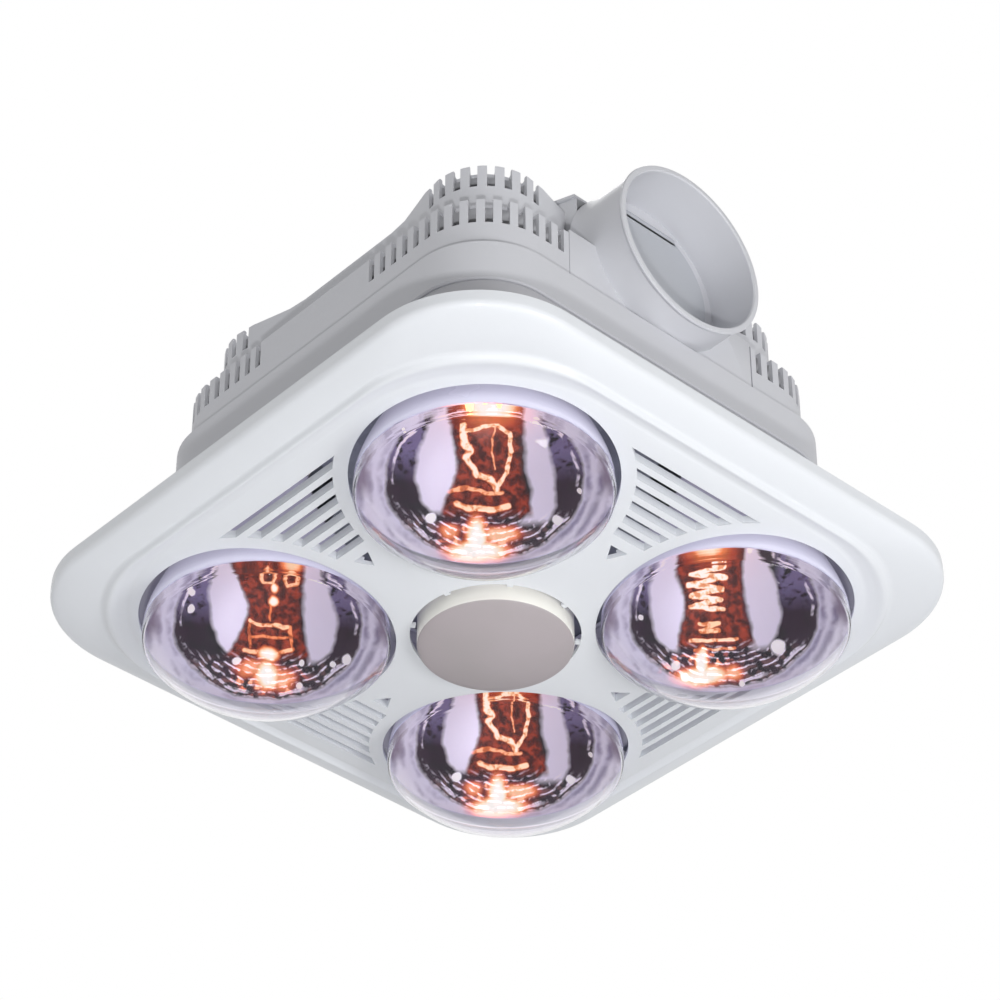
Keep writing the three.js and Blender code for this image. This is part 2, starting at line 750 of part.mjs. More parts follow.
// Mounting frame: a flange under the ceiling, a straight wall through it, a shoulder and a neck.
function mountingFrameSolid() {
  const neckHalf = baseHalf - frameNeckInset;
  const neckRadius = baseCornerRadius - frameNeckInset;
  const sheet = frameSheet;
  const shell = squareShell([
    [flangeHalf, openingCornerRadius + flangeHalf - openingHalf, 0, -flangeThickness],
    [flangeHalf, openingCornerRadius + flangeHalf - openingHalf, 0, 0],
    [openingHalf, openingCornerRadius, 0, 0],
    [openingHalf, openingCornerRadius, 0, frameStraight],
    [neckHalf, neckRadius, 0, frameShoulderTop],
    [neckHalf, neckRadius, 0, frameTop],
    [neckHalf - frameLipWidth, neckRadius - frameLipWidth, 0, frameTop],
    [neckHalf - frameLipWidth, neckRadius - frameLipWidth, 0, frameTop - sheet],
    [neckHalf - sheet, neckRadius - sheet, 0, frameTop - sheet],
    [neckHalf - sheet, neckRadius - sheet, 0, frameShoulderTop - sheet / 2],
    [openingHalf - sheet, openingCornerRadius - sheet, 0, frameStraight - sheet / 2],
    [openingHalf - sheet, openingCornerRadius - sheet, 0, -flangeThickness],
  ]);
  const holeRadius = screwShankRadius + screwClearance;
  const holes = framePlacesOfScrews().map((place) =>
    cylinder(holeRadius, -flangeThickness - cutOverrun, cutOverrun, smallSegments, place),
  );
  return cutBy(shell, holes);
}

function framePlacesOfScrews() {
  const reach = (flangeHalf + openingHalf) / 2;
  return [
    [-reach, -frameScrewPlace],
    [-reach, frameScrewPlace],
    [reach, -frameScrewPlace],
    [reach, frameScrewPlace],
  ];
}

addPiece("mounting_frame", geometryOf(mountingFrameSolid()), framePlastic);

framePlacesOfScrews().forEach((place, i) => {
  const headTop = -flangeThickness - seatGap;
  const tip = screwLength - flangeThickness;
  const profile = [
    [0, headTop - screwHeadHeight],
    [screwHeadRadius, headTop - screwHeadHeight / 2],
    [screwHeadRadius, headTop],
    [screwShankRadius, headTop],
    [screwShankRadius, tip - 2 * screwShankRadius],
    [0, tip],
  ];
  addPiece(`frame_screw_${i + 1}`, geometryOf(turned(profile, smallSegments / 2, place)), brightSteel);
});

// Heat shield over the frame's lip, between the lamps and the plastic housing.
function plateWithHoles(half, cornerRadius, bottom, top, lampHole, centreHole) {
  const plate = prism(squareOutline(half, cornerRadius), bottom, top);
  const [low, high] = [bottom - cutOverrun, top + cutOverrun];
  const cutters = lampPlaces.map((place) => cylinder(lampHole, low, high, smallSegments, place));
  cutters.push(cylinder(centreHole, low, high, discSegments));
  return cutBy(plate, cutters);
}

const shieldBottom = baseBottom + housingWall + seatGap;
const shieldTop = shieldBottom + shieldThickness;
addPiece(
  "heat_shield",
  geometryOf(
    plateWithHoles(shieldHalf, baseCornerRadius, shieldBottom, shieldTop, shieldLampHole, shieldCentreHole),
  ),
  galvanised,
);

// Housing base: the plain ring of the body, with a flange below and a shelf above.
function housingBaseSolid() {
  const wall = housingWall;
  const inner = baseHalf - wall;
  const innerRadius = baseCornerRadius - wall;
  const shelf = lowerTierHalf - baseFlange;
  const shelfRadius = lowerTierCornerRadius - baseFlange;
  const flange = inner - baseFlange;
  return squareShell([
    [baseHalf, baseCornerRadius, 0, baseBottom],
    [baseHalf, baseCornerRadius, 0, baseTop],
    [shelf, shelfRadius, 0, baseTop],
    [shelf, shelfRadius, 0, baseTop - wall],
    [inner, innerRadius, 0, baseTop - wall],
    [inner, innerRadius, 0, baseBottom + wall],
    [flange, innerRadius - baseFlange, 0, baseBottom + wall],
    [flange, innerRadius - baseFlange, 0, baseBottom],
  ]);
}

addPiece("housing_base", geometryOf(housingBaseSolid()), housingPlastic);

// The space that the duct collar takes out of the walls: its panel's width, and its flare.
const collarReach = lowerTierHalf + cutOverrun;

function panelClearance() {
  const half = ductPanelHalf + ductCutClearance;
  return boxBetween(
    [-half, -collarReach, lowerTierBottom - cutOverrun],
    [half, -(lowerTierHalf - lowerFlange - cutOverrun / 2), lidTop],
  );
}

function flareClearance(start) {
  const radius = ductFlareRadius + ductCutClearance;
  const profile = [[0, start], [radius, start], [radius, collarReach], [0, collarReach]];
  return turnedAlongDuct(profile, collarSegments);
}

// How many of the lower tier's vents stay clear of the duct's panel.
function ventsBesideDuct() {
  const clear = ductPanelHalf + ductCutClearance + ventWidth;
  let count = 0;
  while (
    count < lowerVentsPerHalf &&
    placeFromCorner(lowerTierHalf, lowerTierCornerRadius, (count + 0.5) * lowerVentPitch).x > clear
  ) {
    count++;
  }
  return count;
}

// Lower tier: a slotted wall with a shelf that meets the upper tier.
function lowerTierSolid() {
  const wall = housingWall;
  const shelf = upperTierHalf + seatGap + seatGap;
  const shelfRadius = upperTierCornerRadius + seatGap + seatGap;
  const inner = lowerTierHalf - wall;
  const innerRadius = lowerTierCornerRadius - wall;
  const flange = lowerTierHalf - lowerFlange;
  const flangeRadius = lowerTierCornerRadius - lowerFlange;
  const profile = [
    [lowerTierHalf, lowerTierCornerRadius, 0, lowerTierBottom],
    [lowerTierHalf, lowerTierCornerRadius, 0, lowerTierTop],
    [shelf, shelfRadius, upperTierPinch, lowerTierTop],
    [shelf, shelfRadius, upperTierPinch, lowerTierTop - wall],
    [inner, innerRadius, 0, lowerTierTop - wall],
    [inner, innerRadius, 0, lowerTierBottom + wall],
    [flange, flangeRadius, 0, lowerTierBottom + wall],
    [flange, flangeRadius, 0, lowerTierBottom],
  ];
  const shell = squareShell(profile, pinchedSideShares);
  const slotsOnSide = (corner, direction) => {
    const besideDuct = (corner === 2 && direction > 0) || (corner === 3 && direction < 0);
    return besideDuct ? ventsBesideDuct() : lowerVentsPerHalf;
  };
  const cutters = ventCutters(
    lowerTierHalf,
    lowerTierCornerRadius,
    lowerVentPitch,
    lowerTierTop - lowerVentHeight,
    lowerVentHeight,
    lowerVentDepth,
    slotsOnSide,
  );
  return cutBy(shell, [...cutters, panelClearance(), flareClearance(upperWallInside)]);
}

addPiece("housing_lower_tier", geometryOf(lowerTierSolid()), housingPlastic);

// Scroll outline: a spiral round the impeller that opens into the outlet towards the duct.
function scrollOutline(offset) {
  const half = scrollOutletWidth / 2 + offset;
  const startAngle = -Math.acos(half / (scrollTongueRadius + offset));
  const sweep = Math.PI * 1.5 - startAngle - Math.PI / 2 + Math.PI / 12;
  const outline = [new THREE.Vector2(half, -scrollReach)];
  for (let i = 0; i <= scrollSteps; i++) {
    const share = i / scrollSteps;
    const angle = startAngle + share * sweep;
    const radius = scrollTongueRadius + offset + scrollGrowth * share;
    outline.push(new THREE.Vector2(radius * Math.cos(angle), radius * Math.sin(angle)));
  }
  outline.push(new THREE.Vector2(-half, -scrollReach));
  return outline;
}

const scrollReach = ductRoot - ductCutClearance - seatGap;

// Upper tier: pinched wall, slotted corners and the lid, with an opening for the fan.
function upperTierSolid() {
  const wall = housingWall;
  const foot = deckTop + seatGap;
  const inner = upperTierHalf - wall;
  const innerRadius = upperTierCornerRadius - wall;
  const lidHole = scrollTongueRadius * lidHoleShare;
  const profile = [
    [upperTierHalf, upperTierCornerRadius, upperTierPinch, foot],
    [upperTierHalf, upperTierCornerRadius, upperTierPinch, upperTierTop],
    [inner, innerRadius, upperTierPinch, upperTierTop],
    [inner, innerRadius, upperTierPinch, lidTop],
    [lidHole, lidHole * lidCornerShare, 0, lidTop],
    [lidHole, lidHole * lidCornerShare, 0, lidBottom],
    [inner, innerRadius, upperTierPinch, lidBottom],
    [inner, innerRadius, upperTierPinch, foot],
  ];
  const shell = squareShell(profile, pinchedSideShares);
  const cutters = ventCutters(
    upperTierHalf,
    upperTierCornerRadius,
    upperVentPitch,
    upperTierTop - upperVentHeight,
    upperVentHeight,
    wall + cutOverrun / 2,
    () => upperVentsPerHalf,
  );
  const archStart = archShare * upperTierHalf;
  const archEnd = upperTierHalf + cutOverrun;
  for (const [sx, sy] of [[-1, -1], [1, -1], [1, 1], [-1, 1]]) {
    const xs = [sx * archStart, sx * archEnd].sort((a, b) => a - b);
    const ys = [sy * archStart, sy * archEnd].sort((a, b) => a - b);
    cutters.push(boxBetween([xs[0], ys[0], foot - cutOverrun], [xs[1], ys[1], archLevel]));
  }
  const outside = scrollOutline(scrollWall + lidOpeningMargin);
  cutters.push(prism(outside, foot - cutOverrun, upperTierTop + cutOverrun));
  const half = ductPanelHalf + ductCutClearance;
  cutters.push(flareClearance(upperWallInside));
  cutters.push(boxBetween([-half, -archEnd, foot - cutOverrun], [half, -upperWallInside, lowerTierTop]));
  return cutBy(shell, cutters);
}

const lidHoleShare = 0.9;
const lidCornerShare = 0.9;

addPiece("housing_upper_tier", geometryOf(upperTierSolid()), housingPlastic);

// Duct collar: a panel in the wall of the lower tier, a flare and the neck with its lip. The flare's
// profile lists shares of its rise and of its length.
const flareShares = [
  [0, 0],
  [0.55, 0.3],
  [0.85, 0.6],
  [1, 1],
];

// The flare's radius and place, with the wall's outer face drawn in by an inset.
function flareProfile(inset) {
  return flareShares.map(([fallShare, lengthShare]) => [
    ductFlareRadius - inset - ductFlareRise * fallShare,
    ductRoot + ductFlareLength * lengthShare,
  ]);
}

// All that lies inside the middle of the collar's wall, so that what is joined to the wall ends in it.
function collarCore() {
  const inset = ductWall / 2;
  const profile = [[0, ductRoot], ...flareProfile(inset), [ductRadius - inset, ductMouth], [0, ductMouth]];
  return turnedAlongDuct(profile, collarSegments);
}

function ductCollarSolid() {
  const inner = ductRadius - ductWall;
  const neck = turnedAlongDuct(
    [
      ...flareProfile(0),
      [ductRadius, ductMouth - ductLipLength],
      [ductLipRadius, ductMouth - ductLipLength],
      [ductLipRadius, ductMouth],
      [inner, ductMouth],
      ...flareProfile(ductWall).reverse(),
      [ductFlareRadius, ductRoot],
    ],
    collarSegments,
  );
  const half = ductPanelHalf;
  const bottom = lowerTierBottom;
  const outer = lowerTierHalf;
  const panel = boxBetween([-half, -outer, bottom], [half, -(outer - housingWall), ductPanelTop]);
  const bore = turnedAlongDuct(
    [[0, 0], [inner, 0], [inner, ductMouth + cutOverrun], [0, ductMouth + cutOverrun]],
    collarSegments,
  );
  const underNeck = boxBetween(
    [-half - cutOverrun, -(baseHalf + seatGap), bottom - 2 * ductFlareRadius],
    [half + cutOverrun, -(ductRoot - cutOverrun), bottom],
  );
  const core = collarCore();
  const lugs = [-1, 1].map((side) => flapLug(side).intersect(core));
  const body = joined(panel.subtract(bore), neck, flapSeat().intersect(core), ...lugs);
  const pinHole = barAlongX(flapPinRadius + seatGap, pinHalf + seatGap, -pinPlace, pinLevel, smallSegments);
  return cutBy(body, [underNeck, pinHole]);
}

// The ring that the flap shuts against, with room for the flap's knuckle.
function flapSeat() {
  const seatEnd = flapBack - flapSeatGap;
  const seatStart = seatEnd - flapSeatThickness;
  const seat = turnedAlongDuct(
    [
      [flapSeatRadius, seatStart],
      [ductFlareRadius, seatStart],
      [ductFlareRadius, seatEnd],
      [flapSeatRadius, seatEnd],
      [flapSeatRadius, seatStart],
    ],
    collarSegments,
  );
  const knuckleSpace = boxBetween(
    [-flapLugStart, -flapPlace, pinLevel - flapKnuckleRadius - flapSeatGap],
    [flapLugStart, -seatStart + cutOverrun, pinLevel + flapKnuckleRadius + flapThickness + flapSeatGap],
  );
  return seat.subtract(knuckleSpace);
}

// One of the two lugs behind the flap that carry its pin.
function flapLug(side) {
  const [near, far] = [flapLugStart, flapLugStart + flapLugThickness].map((x) => side * x);
  return boxBetween(
    [Math.min(near, far), -(flapBack - flapKnuckleGap), pinLevel - flapLugDrop],
    [Math.max(near, far), -(pinPlace - flapKnuckleRadius), ductLevel + ductFlareRadius],
  );
}

addPiece("duct_collar", geometryOf(ductCollarSolid()), housingPlastic);

// Backdraft flap, hung from a pin behind its top edge. It swings outward.
function barAlongX(radius, halfLength, y, z, segments) {
  const rod = new THREE.CylinderGeometry(radius, radius, 2 * halfLength, segments);
  rod.rotateZ(Math.PI / 2);
  rod.translate(0, y, z);
  return solidOf(rod);
}

function flapSolid() {
  const front = flapBack + flapThickness;
  const disc = turnedAlongDuct(
    [[0, flapBack], [flapRadius, flapBack], [flapRadius, front], [0, front]],
    collarSegments,
  );
  const tabBottom = pinLevel - flapKnuckleRadius;
  const topTrim = boxBetween(
    [-flapRadius, -front - cutOverrun, tabBottom],
    [flapRadius, -flapBack + cutOverrun, ductLevel + flapRadius + cutOverrun],
  );
  const knuckleHalf = flapLugStart - flapKnuckleGap;
  const tab = boxBetween(
    [-knuckleHalf, -front, tabBottom - flapThickness],
    [knuckleHalf, -flapBack, pinLevel],
  );
  const web = boxBetween(
    [-knuckleHalf, -flapBack - flapThickness / 2, tabBottom],
    [knuckleHalf, -pinPlace, pinLevel],
  );
  const knuckle = barAlongX(flapKnuckleRadius, knuckleHalf, -pinPlace, pinLevel, smallSegments);
  const boreRadius = flapPinRadius + flapKnuckleGap;
  const bore = barAlongX(boreRadius, pinHalf + cutOverrun, -pinPlace, pinLevel, smallSegments);
  return joined(disc.subtract(topTrim), tab, web, knuckle).subtract(bore);
}

addPiece("backdraft_flap", geometryOf(flapSolid()), whitePlastic);
addPiece(
  "flap_pin",
  geometryOf(barAlongX(flapPinRadius, pinHalf, -pinPlace, pinLevel, smallSegments)),
  brightSteel,
);

// Fan deck, with the inlet ring and the bridge that carries the centre holder.
const deckPlate = plateWithHoles(deckHalf, deckCornerRadius, deckBottom, deckTop, deckLampHole, inletRadius);
const deckCut = flareClearance(ductRoot - ductCutClearance);
addPiece("fan_deck", geometryOf(deckPlate.subtract(deckCut)), galvanised);

function inletRingSolid() {
  const bottom = deckTop + seatGap;
  const sheet = inletSheet;
  return turned(
    [
      [inletFlangeRadius, bottom],
      [inletFlangeRadius, bottom + sheet],
      [inletBellRadius + 2 * sheet, bottom + sheet],
      [inletBellRadius + sheet, bottom + 2 * sheet],
      [inletBellRadius + sheet, bottom + inletBellHeight],
      [inletBellRadius, bottom + inletBellHeight],
      [inletBellRadius, bottom + sheet],
      [inletBellRadius + sheet, bottom],
      [inletFlangeRadius, bottom],
    ],
    discSegments,
  );
}

addPiece("inlet_ring", geometryOf(inletRingSolid()), galvanised);

const bridgeTop = deckBottom - seatGap;
const bridgeHalf = inletRadius + bridgeOverlap;
const bridge = boxBetween(
  [-bridgeHalf, -bridgeWidth / 2, bridgeTop - bridgeThickness],
  [bridgeHalf, bridgeWidth / 2, bridgeTop],
);
addPiece("holder_bridge", geometryOf(bridge), galvanised);

// Scroll: the spiral wall round the impeller, and its cover.
function scrollSolid() {
  const outer = scrollOutline(scrollWall);
  const inner = scrollOutline(0);
  inner[0].y -= cutOverrun;
  inner[inner.length - 1].y -= cutOverrun;
  const bottom = deckTop + seatGap;
  const shell = prism(outer, bottom, scrollTop);
  return shell.subtract(prism(inner, bottom - cutOverrun, scrollTop + cutOverrun));
}

addPiece("fan_scroll", geometryOf(scrollSolid()), galvanised);

function scrollCoverSolid() {
  const cover = prism(scrollOutline(scrollWall + coverMargin / 2), coverBottom, coverTop);
  const hole = cylinder(bearingRadius, coverBottom - cutOverrun, coverTop + cutOverrun, smallSegments);
  return cover.subtract(hole);
}

addPiece("scroll_cover", geometryOf(scrollCoverSolid()), galvanised);

// Impeller: a back plate, blades that lean forward, a front ring and a hub on the shaft.
function impellerSolid() {
  const plateBottom = impellerTop - impellerPlate;
  const plate = cylinder(impellerRadius, plateBottom, impellerTop, discSegments);
  const ringInner = impellerRadius - impellerRingWidth;
  const ringTop = impellerBottom + impellerPlate;
  const frontRing = ring(ringInner, impellerRadius, impellerBottom, ringTop, discSegments);
  const hubBottom = impellerTop - hubHeight;
  const hub = cylinder(hubRadius, hubBottom, impellerTop, smallSegments);
  const [low, high] = [hubBottom - cutOverrun, impellerTop + cutOverrun];
  const bore = cylinder(shaftRadius + shaftGap, low, high, smallSegments);
  const lean = (bladeLeanDegrees * Math.PI) / 180;
  const chord = bladeDepth / Math.cos(lean) - bladeThickness;
  const middle = (impellerRadius + impellerInnerRadius) / 2;
  const blades = [];
  for (let i = 0; i < bladeCount; i++) {
    const angle = (2 * Math.PI * i) / bladeCount;
    const size = [chord, bladeThickness, plateBottom - impellerBottom + impellerPlate / 2];
    const place = [middle * Math.cos(angle), middle * Math.sin(angle)];
    blades.push(turnedBox(size, place, impellerBottom, angle + lean));
  }
  return joined(plate, frontRing, hub, ...blades).subtract(bore);
}

addPiece("impeller", geometryOf(impellerSolid()), blackPlastic);
const shaft = cylinder(shaftRadius, shaftBottom, shaftTop, smallSegments);
addPiece("motor_shaft", geometryOf(shaft), brightSteel);

const nutTop = impellerTop - hubHeight - seatGap;
addPiece(
  "impeller_nut",
  geometryOf(ring(shaftRadius + shaftGap, nutRadius, nutTop - nutHeight, nutTop, smallSegments)),
  brightSteel,
);

// Motor on the scroll cover: plate, can, stator, rotor and two bearings.
const lowerBearingTop = motorPlateBottom + bearingHeight;
const upperBearingTop = motorCanTop - motorSheet - seatGap;
addPiece(
  "motor_plate",
  geometryOf(ring(bearingRadius + seatGap, motorPlateRadius, motorPlateBottom, motorPlateTop, discSegments)),
  galvanised,
);

function motorCanSolid() {
  const bottom = motorPlateTop + seatGap;
  const inner = motorCanRadius - motorSheet;
  return turned(
    [
      [inner, bottom],
      [motorCanRadius, bottom],
      [motorCanRadius, motorCanTop - 2 * motorSheet],
      [motorCanRadius - 2 * motorSheet, motorCanTop],
      [0, motorCanTop],
      [0, motorCanTop - motorSheet],
      [inner - 2 * motorSheet, motorCanTop - motorSheet],
      [inner, motorCanTop - 3 * motorSheet],
      [inner, bottom],
    ],
    discSegments,
  );
}

addPiece("motor_can", geometryOf(motorCanSolid()), galvanised);

const statorBottom = motorPlateTop + seatGap;
const statorTop = statorBottom + statorHeight;
const stator = ring(statorInnerRadius, statorOuterRadius, statorBottom, statorTop, discSegments);
addPiece("motor_stator", geometryOf(stator), copper);
const rotorBottom = lowerBearingTop + seatGap;
const rotorTop = rotorBottom + rotorHeight;
const rotor = ring(shaftRadius + shaftGap, rotorRadius, rotorBottom, rotorTop, smallSegments);
addPiece("motor_rotor", geometryOf(rotor), brightSteel);
[
  ["motor_bearing_lower", lowerBearingTop],
  ["motor_bearing_upper", upperBearingTop],
].forEach(([name, top]) => {
  const bearing = ring(shaftRadius + shaftGap, bearingRadius, top - bearingHeight, top, smallSegments);
  addPiece(name, geometryOf(bearing), brightSteel);
});

// Reflector lamps. Radius shares against height shares, from the widest place up to the neck.
const reflectorShares = [
  [1, 0],
  [0.965, 0.1],
  [0.87, 0.22],
  [0.72, 0.35],
  [0.53, 0.49],
  [0.37, 0.65],
  [lampNeckShare, 1],
];

// The inner side has fewer points where the outside bulges, because a chord there stays in the glass.
const reflectorInnerShares = [
  [1, 0],
  [0.87, 0.22],
  [0.53, 0.49],
  [0.37, 0.65],
  [lampNeckShare, 1],
];

// One side of a bulb's glass: a spherical face, then the sides by their shares. The inner side lies
// in by the thickness of the glass.
function bulbProfile(shape, faceSteps, sideShares, shift) {
  const { radius, faceRadius, faceEdge, apexDrop, widestDrop, neckTop } = shape;
  const profile = [];
  for (let i = 0; i <= faceSteps; i++) {
    const across = (faceEdge * i) / faceSteps;
    const level = faceRadius - apexDrop - Math.sqrt(faceRadius ** 2 - across ** 2);
    profile.push([Math.max(0, i === 0 ? 0 : across - shift), level + shift]);
  }
  const rise = neckTop + widestDrop;
  for (const [radiusShare, riseShare] of sideShares) {
    profile.push([radius * radiusShare - shift, riseShare * rise - widestDrop]);
  }
  return profile;
}

function bulbSolid(shape, faceSteps, outerShares, innerShares, place) {
  const outer = bulbProfile(shape, faceSteps, outerShares, 0);
  const inner = bulbProfile(shape, faceSteps / 2, innerShares, glassWall);
  return turned([...outer, ...inner.reverse()], lampSegments, place);
}

function lampGlassSolid(place) {
  return bulbSolid(lampShape, 4, reflectorShares, reflectorInnerShares, place);
}

const lampShape = {
  radius: lampRadius,
  faceRadius: lampFaceRadius,
  faceEdge: lampRadius - glassWall * 2,
  apexDrop: lampApexDrop,
  widestDrop: lampWidestDrop,
  neckTop: lampNeckTop,
};

// A screw cap with a collar, rolled thread and contact.
function capSolid(bottom, collarRadius, place) {
  const collar = capThreadDepth * 2;
  const profile = [
    [0, bottom],
    [collarRadius, bottom],
    [capRadius, bottom + collar],
  ];
  const threadRun = capLength - collar - capTipHeight * 2;
  for (let i = 0; i < capThreadCount; i++) {
    const level = bottom + collar + (threadRun * (i + 0.5)) / capThreadCount;
    profile.push([capRadius - capThreadDepth, level]);
    profile.push([capRadius, level + threadRun / capThreadCount / 2]);
  }
  profile.push([capTipRadius, bottom + capLength - capTipHeight]);
  profile.push([capTipRadius, bottom + capLength]);
  profile.push([0, bottom + capLength]);
  return turned(profile, smallSegments, place);
}

// The filament and its mount: a stem, two supports and the zigzag wire in one unbroken run.
function filamentSolid(place) {
  const top = lampNeckTop;
  const stem = cylinder(stemRadius, top - stemLength, top, smallSegments / 2, place);
  const at = (x, z) => new THREE.Vector3(place[0] + x, place[1], z);
  const stemEnd = top - stemLength + stemRadius / 2;
  const route = [at(-stemRadius / 2, stemEnd), at(-filamentHalfWidth, filamentTop)];
  for (let i = 1; i < filamentZigzags; i++) {
    const x = filamentHalfWidth * ((2 * i) / filamentZigzags - 1);
    route.push(at(x, i % 2 === 1 ? filamentBottom : filamentTop - filamentWireRadius * 2));
  }
  route.push(at(filamentHalfWidth, filamentTop), at(stemRadius / 2, stemEnd));
  return stem.add(bar(route, filamentWireRadius, 4, 15));
}

// A ceramic holder, open at the bottom, with a shoulder that rests on the deck.
function lampHolderSolid(place) {
  const shoulderBottom = deckTop + seatGap;
  const shoulderTop = shoulderBottom + holderShoulderHeight;
  const boreTop = lampNeckTop + seatGap + capLength + holderBoreRoof / 2;
  return turned(
    [
      [holderBoreRadius, holderEntry],
      [holderRadius, holderEntry],
      [holderRadius, shoulderBottom],
      [holderShoulderRadius, shoulderBottom],
      [holderShoulderRadius, shoulderTop],
      [holderRadius, shoulderTop],
      [holderRadius, holderTop - holderBoreRoof],
      [holderRadius - holderBoreRoof, holderTop],
      [0, holderTop],
      [0, boreTop],
      [holderBoreRadius, boreTop],
      [holderBoreRadius, holderEntry],
    ],
    holderSegments,
    place,
  );
}

// The ring that is screwed onto a holder from below, against the deck.
function holderRingSolid(place) {
  const top = deckBottom - seatGap;
  return ring(holderRadius + seatGap, holderRingRadius, top - holderRingHeight, top, holderSegments, place);
}

lampPlaces.forEach((place, i) => {
  const number = i + 1;
  addPiece(`lamp_glass_${number}`, geometryOf(lampGlassSolid(place)), lampGlass);
  addPiece(`lamp_cap_${number}`, geometryOf(capSolid(lampNeckTop + seatGap, lampNeckRadius, place)), brass);
  addPiece(`lamp_filament_${number}`, geometryOf(filamentSolid(place)), tungsten);
  addPiece(`lamp_holder_${number}`, geometryOf(lampHolderSolid(place)), ceramic);
  addPiece(`holder_ring_${number}`, geometryOf(holderRingSolid(place)), galvanised);
});

// Centre globe with a frosted face, its cap and its holder under the bridge.
const globeSideShares = [
  [1, 0],
  [0.92, 0.24],
  [0.74, 0.46],
  [0.5, 0.72],
  [globeNeckShare, 1],
];

const globeInnerShares = [
  [1, 0],
  [0.74, 0.46],
  [0.5, 0.72],
  [globeNeckShare, 1],
];
const globeShape = {
  radius: globeRadius,
  faceRadius: (globeRadius ** 2 + globeSagitta ** 2) / (2 * globeSagitta),
  faceEdge: globeRadius,
  apexDrop: globeApexDrop,
  widestDrop: globeShoulderDrop,
  neckTop: globeNeckTop,
};

function globeHolderSolid() {
  const top = bridgeTop - bridgeThickness - seatGap;
  const boreTop = globeNeckTop + seatGap + capLength + holderBoreRoof / 2;
  return turned(
    [
      [holderBoreRadius, globeHolderEntry],
      [globeHolderRadius, globeHolderEntry],
      [globeHolderRadius, top - holderBoreRoof],
      [globeHolderRadius - holderBoreRoof, top],
      [0, top],
      [0, boreTop],
      [holderBoreRadius, boreTop],
      [holderBoreRadius, globeHolderEntry],
    ],
    holderSegments,
  );
}

const globeSolid = bulbSolid(globeShape, 4, globeSideShares, globeInnerShares, [0, 0]);
addPiece("globe_glass", geometryOf(globeSolid), frostedGlass);
addPiece("globe_cap", geometryOf(capSolid(globeNeckTop + seatGap, globeNeckRadius, [0, 0])), brass);
addPiece("globe_holder", geometryOf(globeHolderSolid()), ceramic);

// Terminal box on the lid: tray, cover, block and cable gland.
const boxBottom = lidTop + seatGap;
const boxTop = boxBottom + boxHeight;
const glandLevel = boxBottom + boxHeight / 2;

function barAlongXBetween(radius, x0, x1, segments) {
  const rod = new THREE.CylinderGeometry(radius, radius, x1 - x0, segments);
  rod.rotateZ(Math.PI / 2);
  rod.translate((x0 + x1) / 2, boxPlaceY, glandLevel);
  return solidOf(rod);
}

// A box that stands on a level, centred on the terminal box.
function boxedAt(length, width, bottom, top) {
  return boxBetween(
    [boxPlaceX - length / 2, boxPlaceY - width / 2, bottom],
    [boxPlaceX + length / 2, boxPlaceY + width / 2, top],
  );
}

const boxEnd = boxPlaceX + boxLength / 2;

function terminalBoxSolid() {
  const outside = boxedAt(boxLength, boxWidth, boxBottom, boxTop);
  const [length, width] = [boxLength - 2 * boxWall, boxWidth - 2 * boxWall];
  const inside = boxedAt(length, width, boxBottom + boxWall, boxTop + cutOverrun);
  const hole = barAlongXBetween(
    glandRadius + seatGap,
    boxEnd - boxWall - cutOverrun,
    boxEnd + cutOverrun,
    smallSegments,
  );
  return outside.subtract(inside).subtract(hole);
}

function glandSolid() {
  const face = boxEnd + seatGap;
  const start = boxEnd - boxWall - seatGap;
  const barrel = barAlongXBetween(glandRadius, start, face + glandLength, smallSegments);
  const nut = barAlongXBetween(glandNutRadius, face, face + glandNutLength, smallSegments);
  const [boreStart, boreEnd] = [start - cutOverrun, face + glandLength + cutOverrun];
  const bore = barAlongXBetween(glandBoreRadius, boreStart, boreEnd, smallSegments);
  return barrel.add(nut).subtract(bore);
}

const boxFloor = boxBottom + boxWall + seatGap;
addPiece("terminal_box", geometryOf(terminalBoxSolid()), whitePlastic);
addPiece(
  "terminal_box_cover",
  geometryOf(boxedAt(boxLength, boxWidth, boxTop + seatGap, boxTop + seatGap + boxWall)),
  whitePlastic,
);
addPiece(
  "terminal_block",
  geometryOf(boxedAt(blockLength, blockWidth, boxFloor, boxFloor + blockHeight)),
  whitePlastic,
);
addPiece("cable_gland", geometryOf(glandSolid()), blackPlastic);

export default heater;
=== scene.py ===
import math

import bmesh
import bpy
from mathutils import Matrix, Vector


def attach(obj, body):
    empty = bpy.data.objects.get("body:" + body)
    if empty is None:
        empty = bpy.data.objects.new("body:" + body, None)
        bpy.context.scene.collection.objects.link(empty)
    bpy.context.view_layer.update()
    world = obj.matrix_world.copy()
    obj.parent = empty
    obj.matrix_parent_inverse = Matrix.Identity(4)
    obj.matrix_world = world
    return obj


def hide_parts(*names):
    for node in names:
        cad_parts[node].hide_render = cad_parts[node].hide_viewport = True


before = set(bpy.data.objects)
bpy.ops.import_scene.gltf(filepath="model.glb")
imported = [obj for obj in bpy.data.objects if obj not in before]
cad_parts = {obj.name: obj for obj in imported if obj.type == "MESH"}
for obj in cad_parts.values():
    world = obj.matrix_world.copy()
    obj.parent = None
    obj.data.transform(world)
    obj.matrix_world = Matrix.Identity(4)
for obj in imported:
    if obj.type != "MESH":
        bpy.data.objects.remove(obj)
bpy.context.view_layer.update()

mm = 0.001
overrun = 4  # mm by which a cutter passes what it cuts


def srgb(r, g, b):
    def lin(c):
        c = c / 255
        return c / 12.92 if c <= 0.04045 else ((c + 0.055) / 1.055) ** 2.4
    return (lin(r), lin(g), lin(b), 1)


# Camera, fitted to the photo: bearings in degrees, distances in mm
view = {
    "azimuth": 47.5075, "elevation": 38.0711, "roll": -0.0824,
    "right": -2.28, "down": 54.259, "distance": 1682.963, "focal": 3342.88, "picture": 1000, "sensor": 36,
    "ceilingBelowFit": 13.479,
}


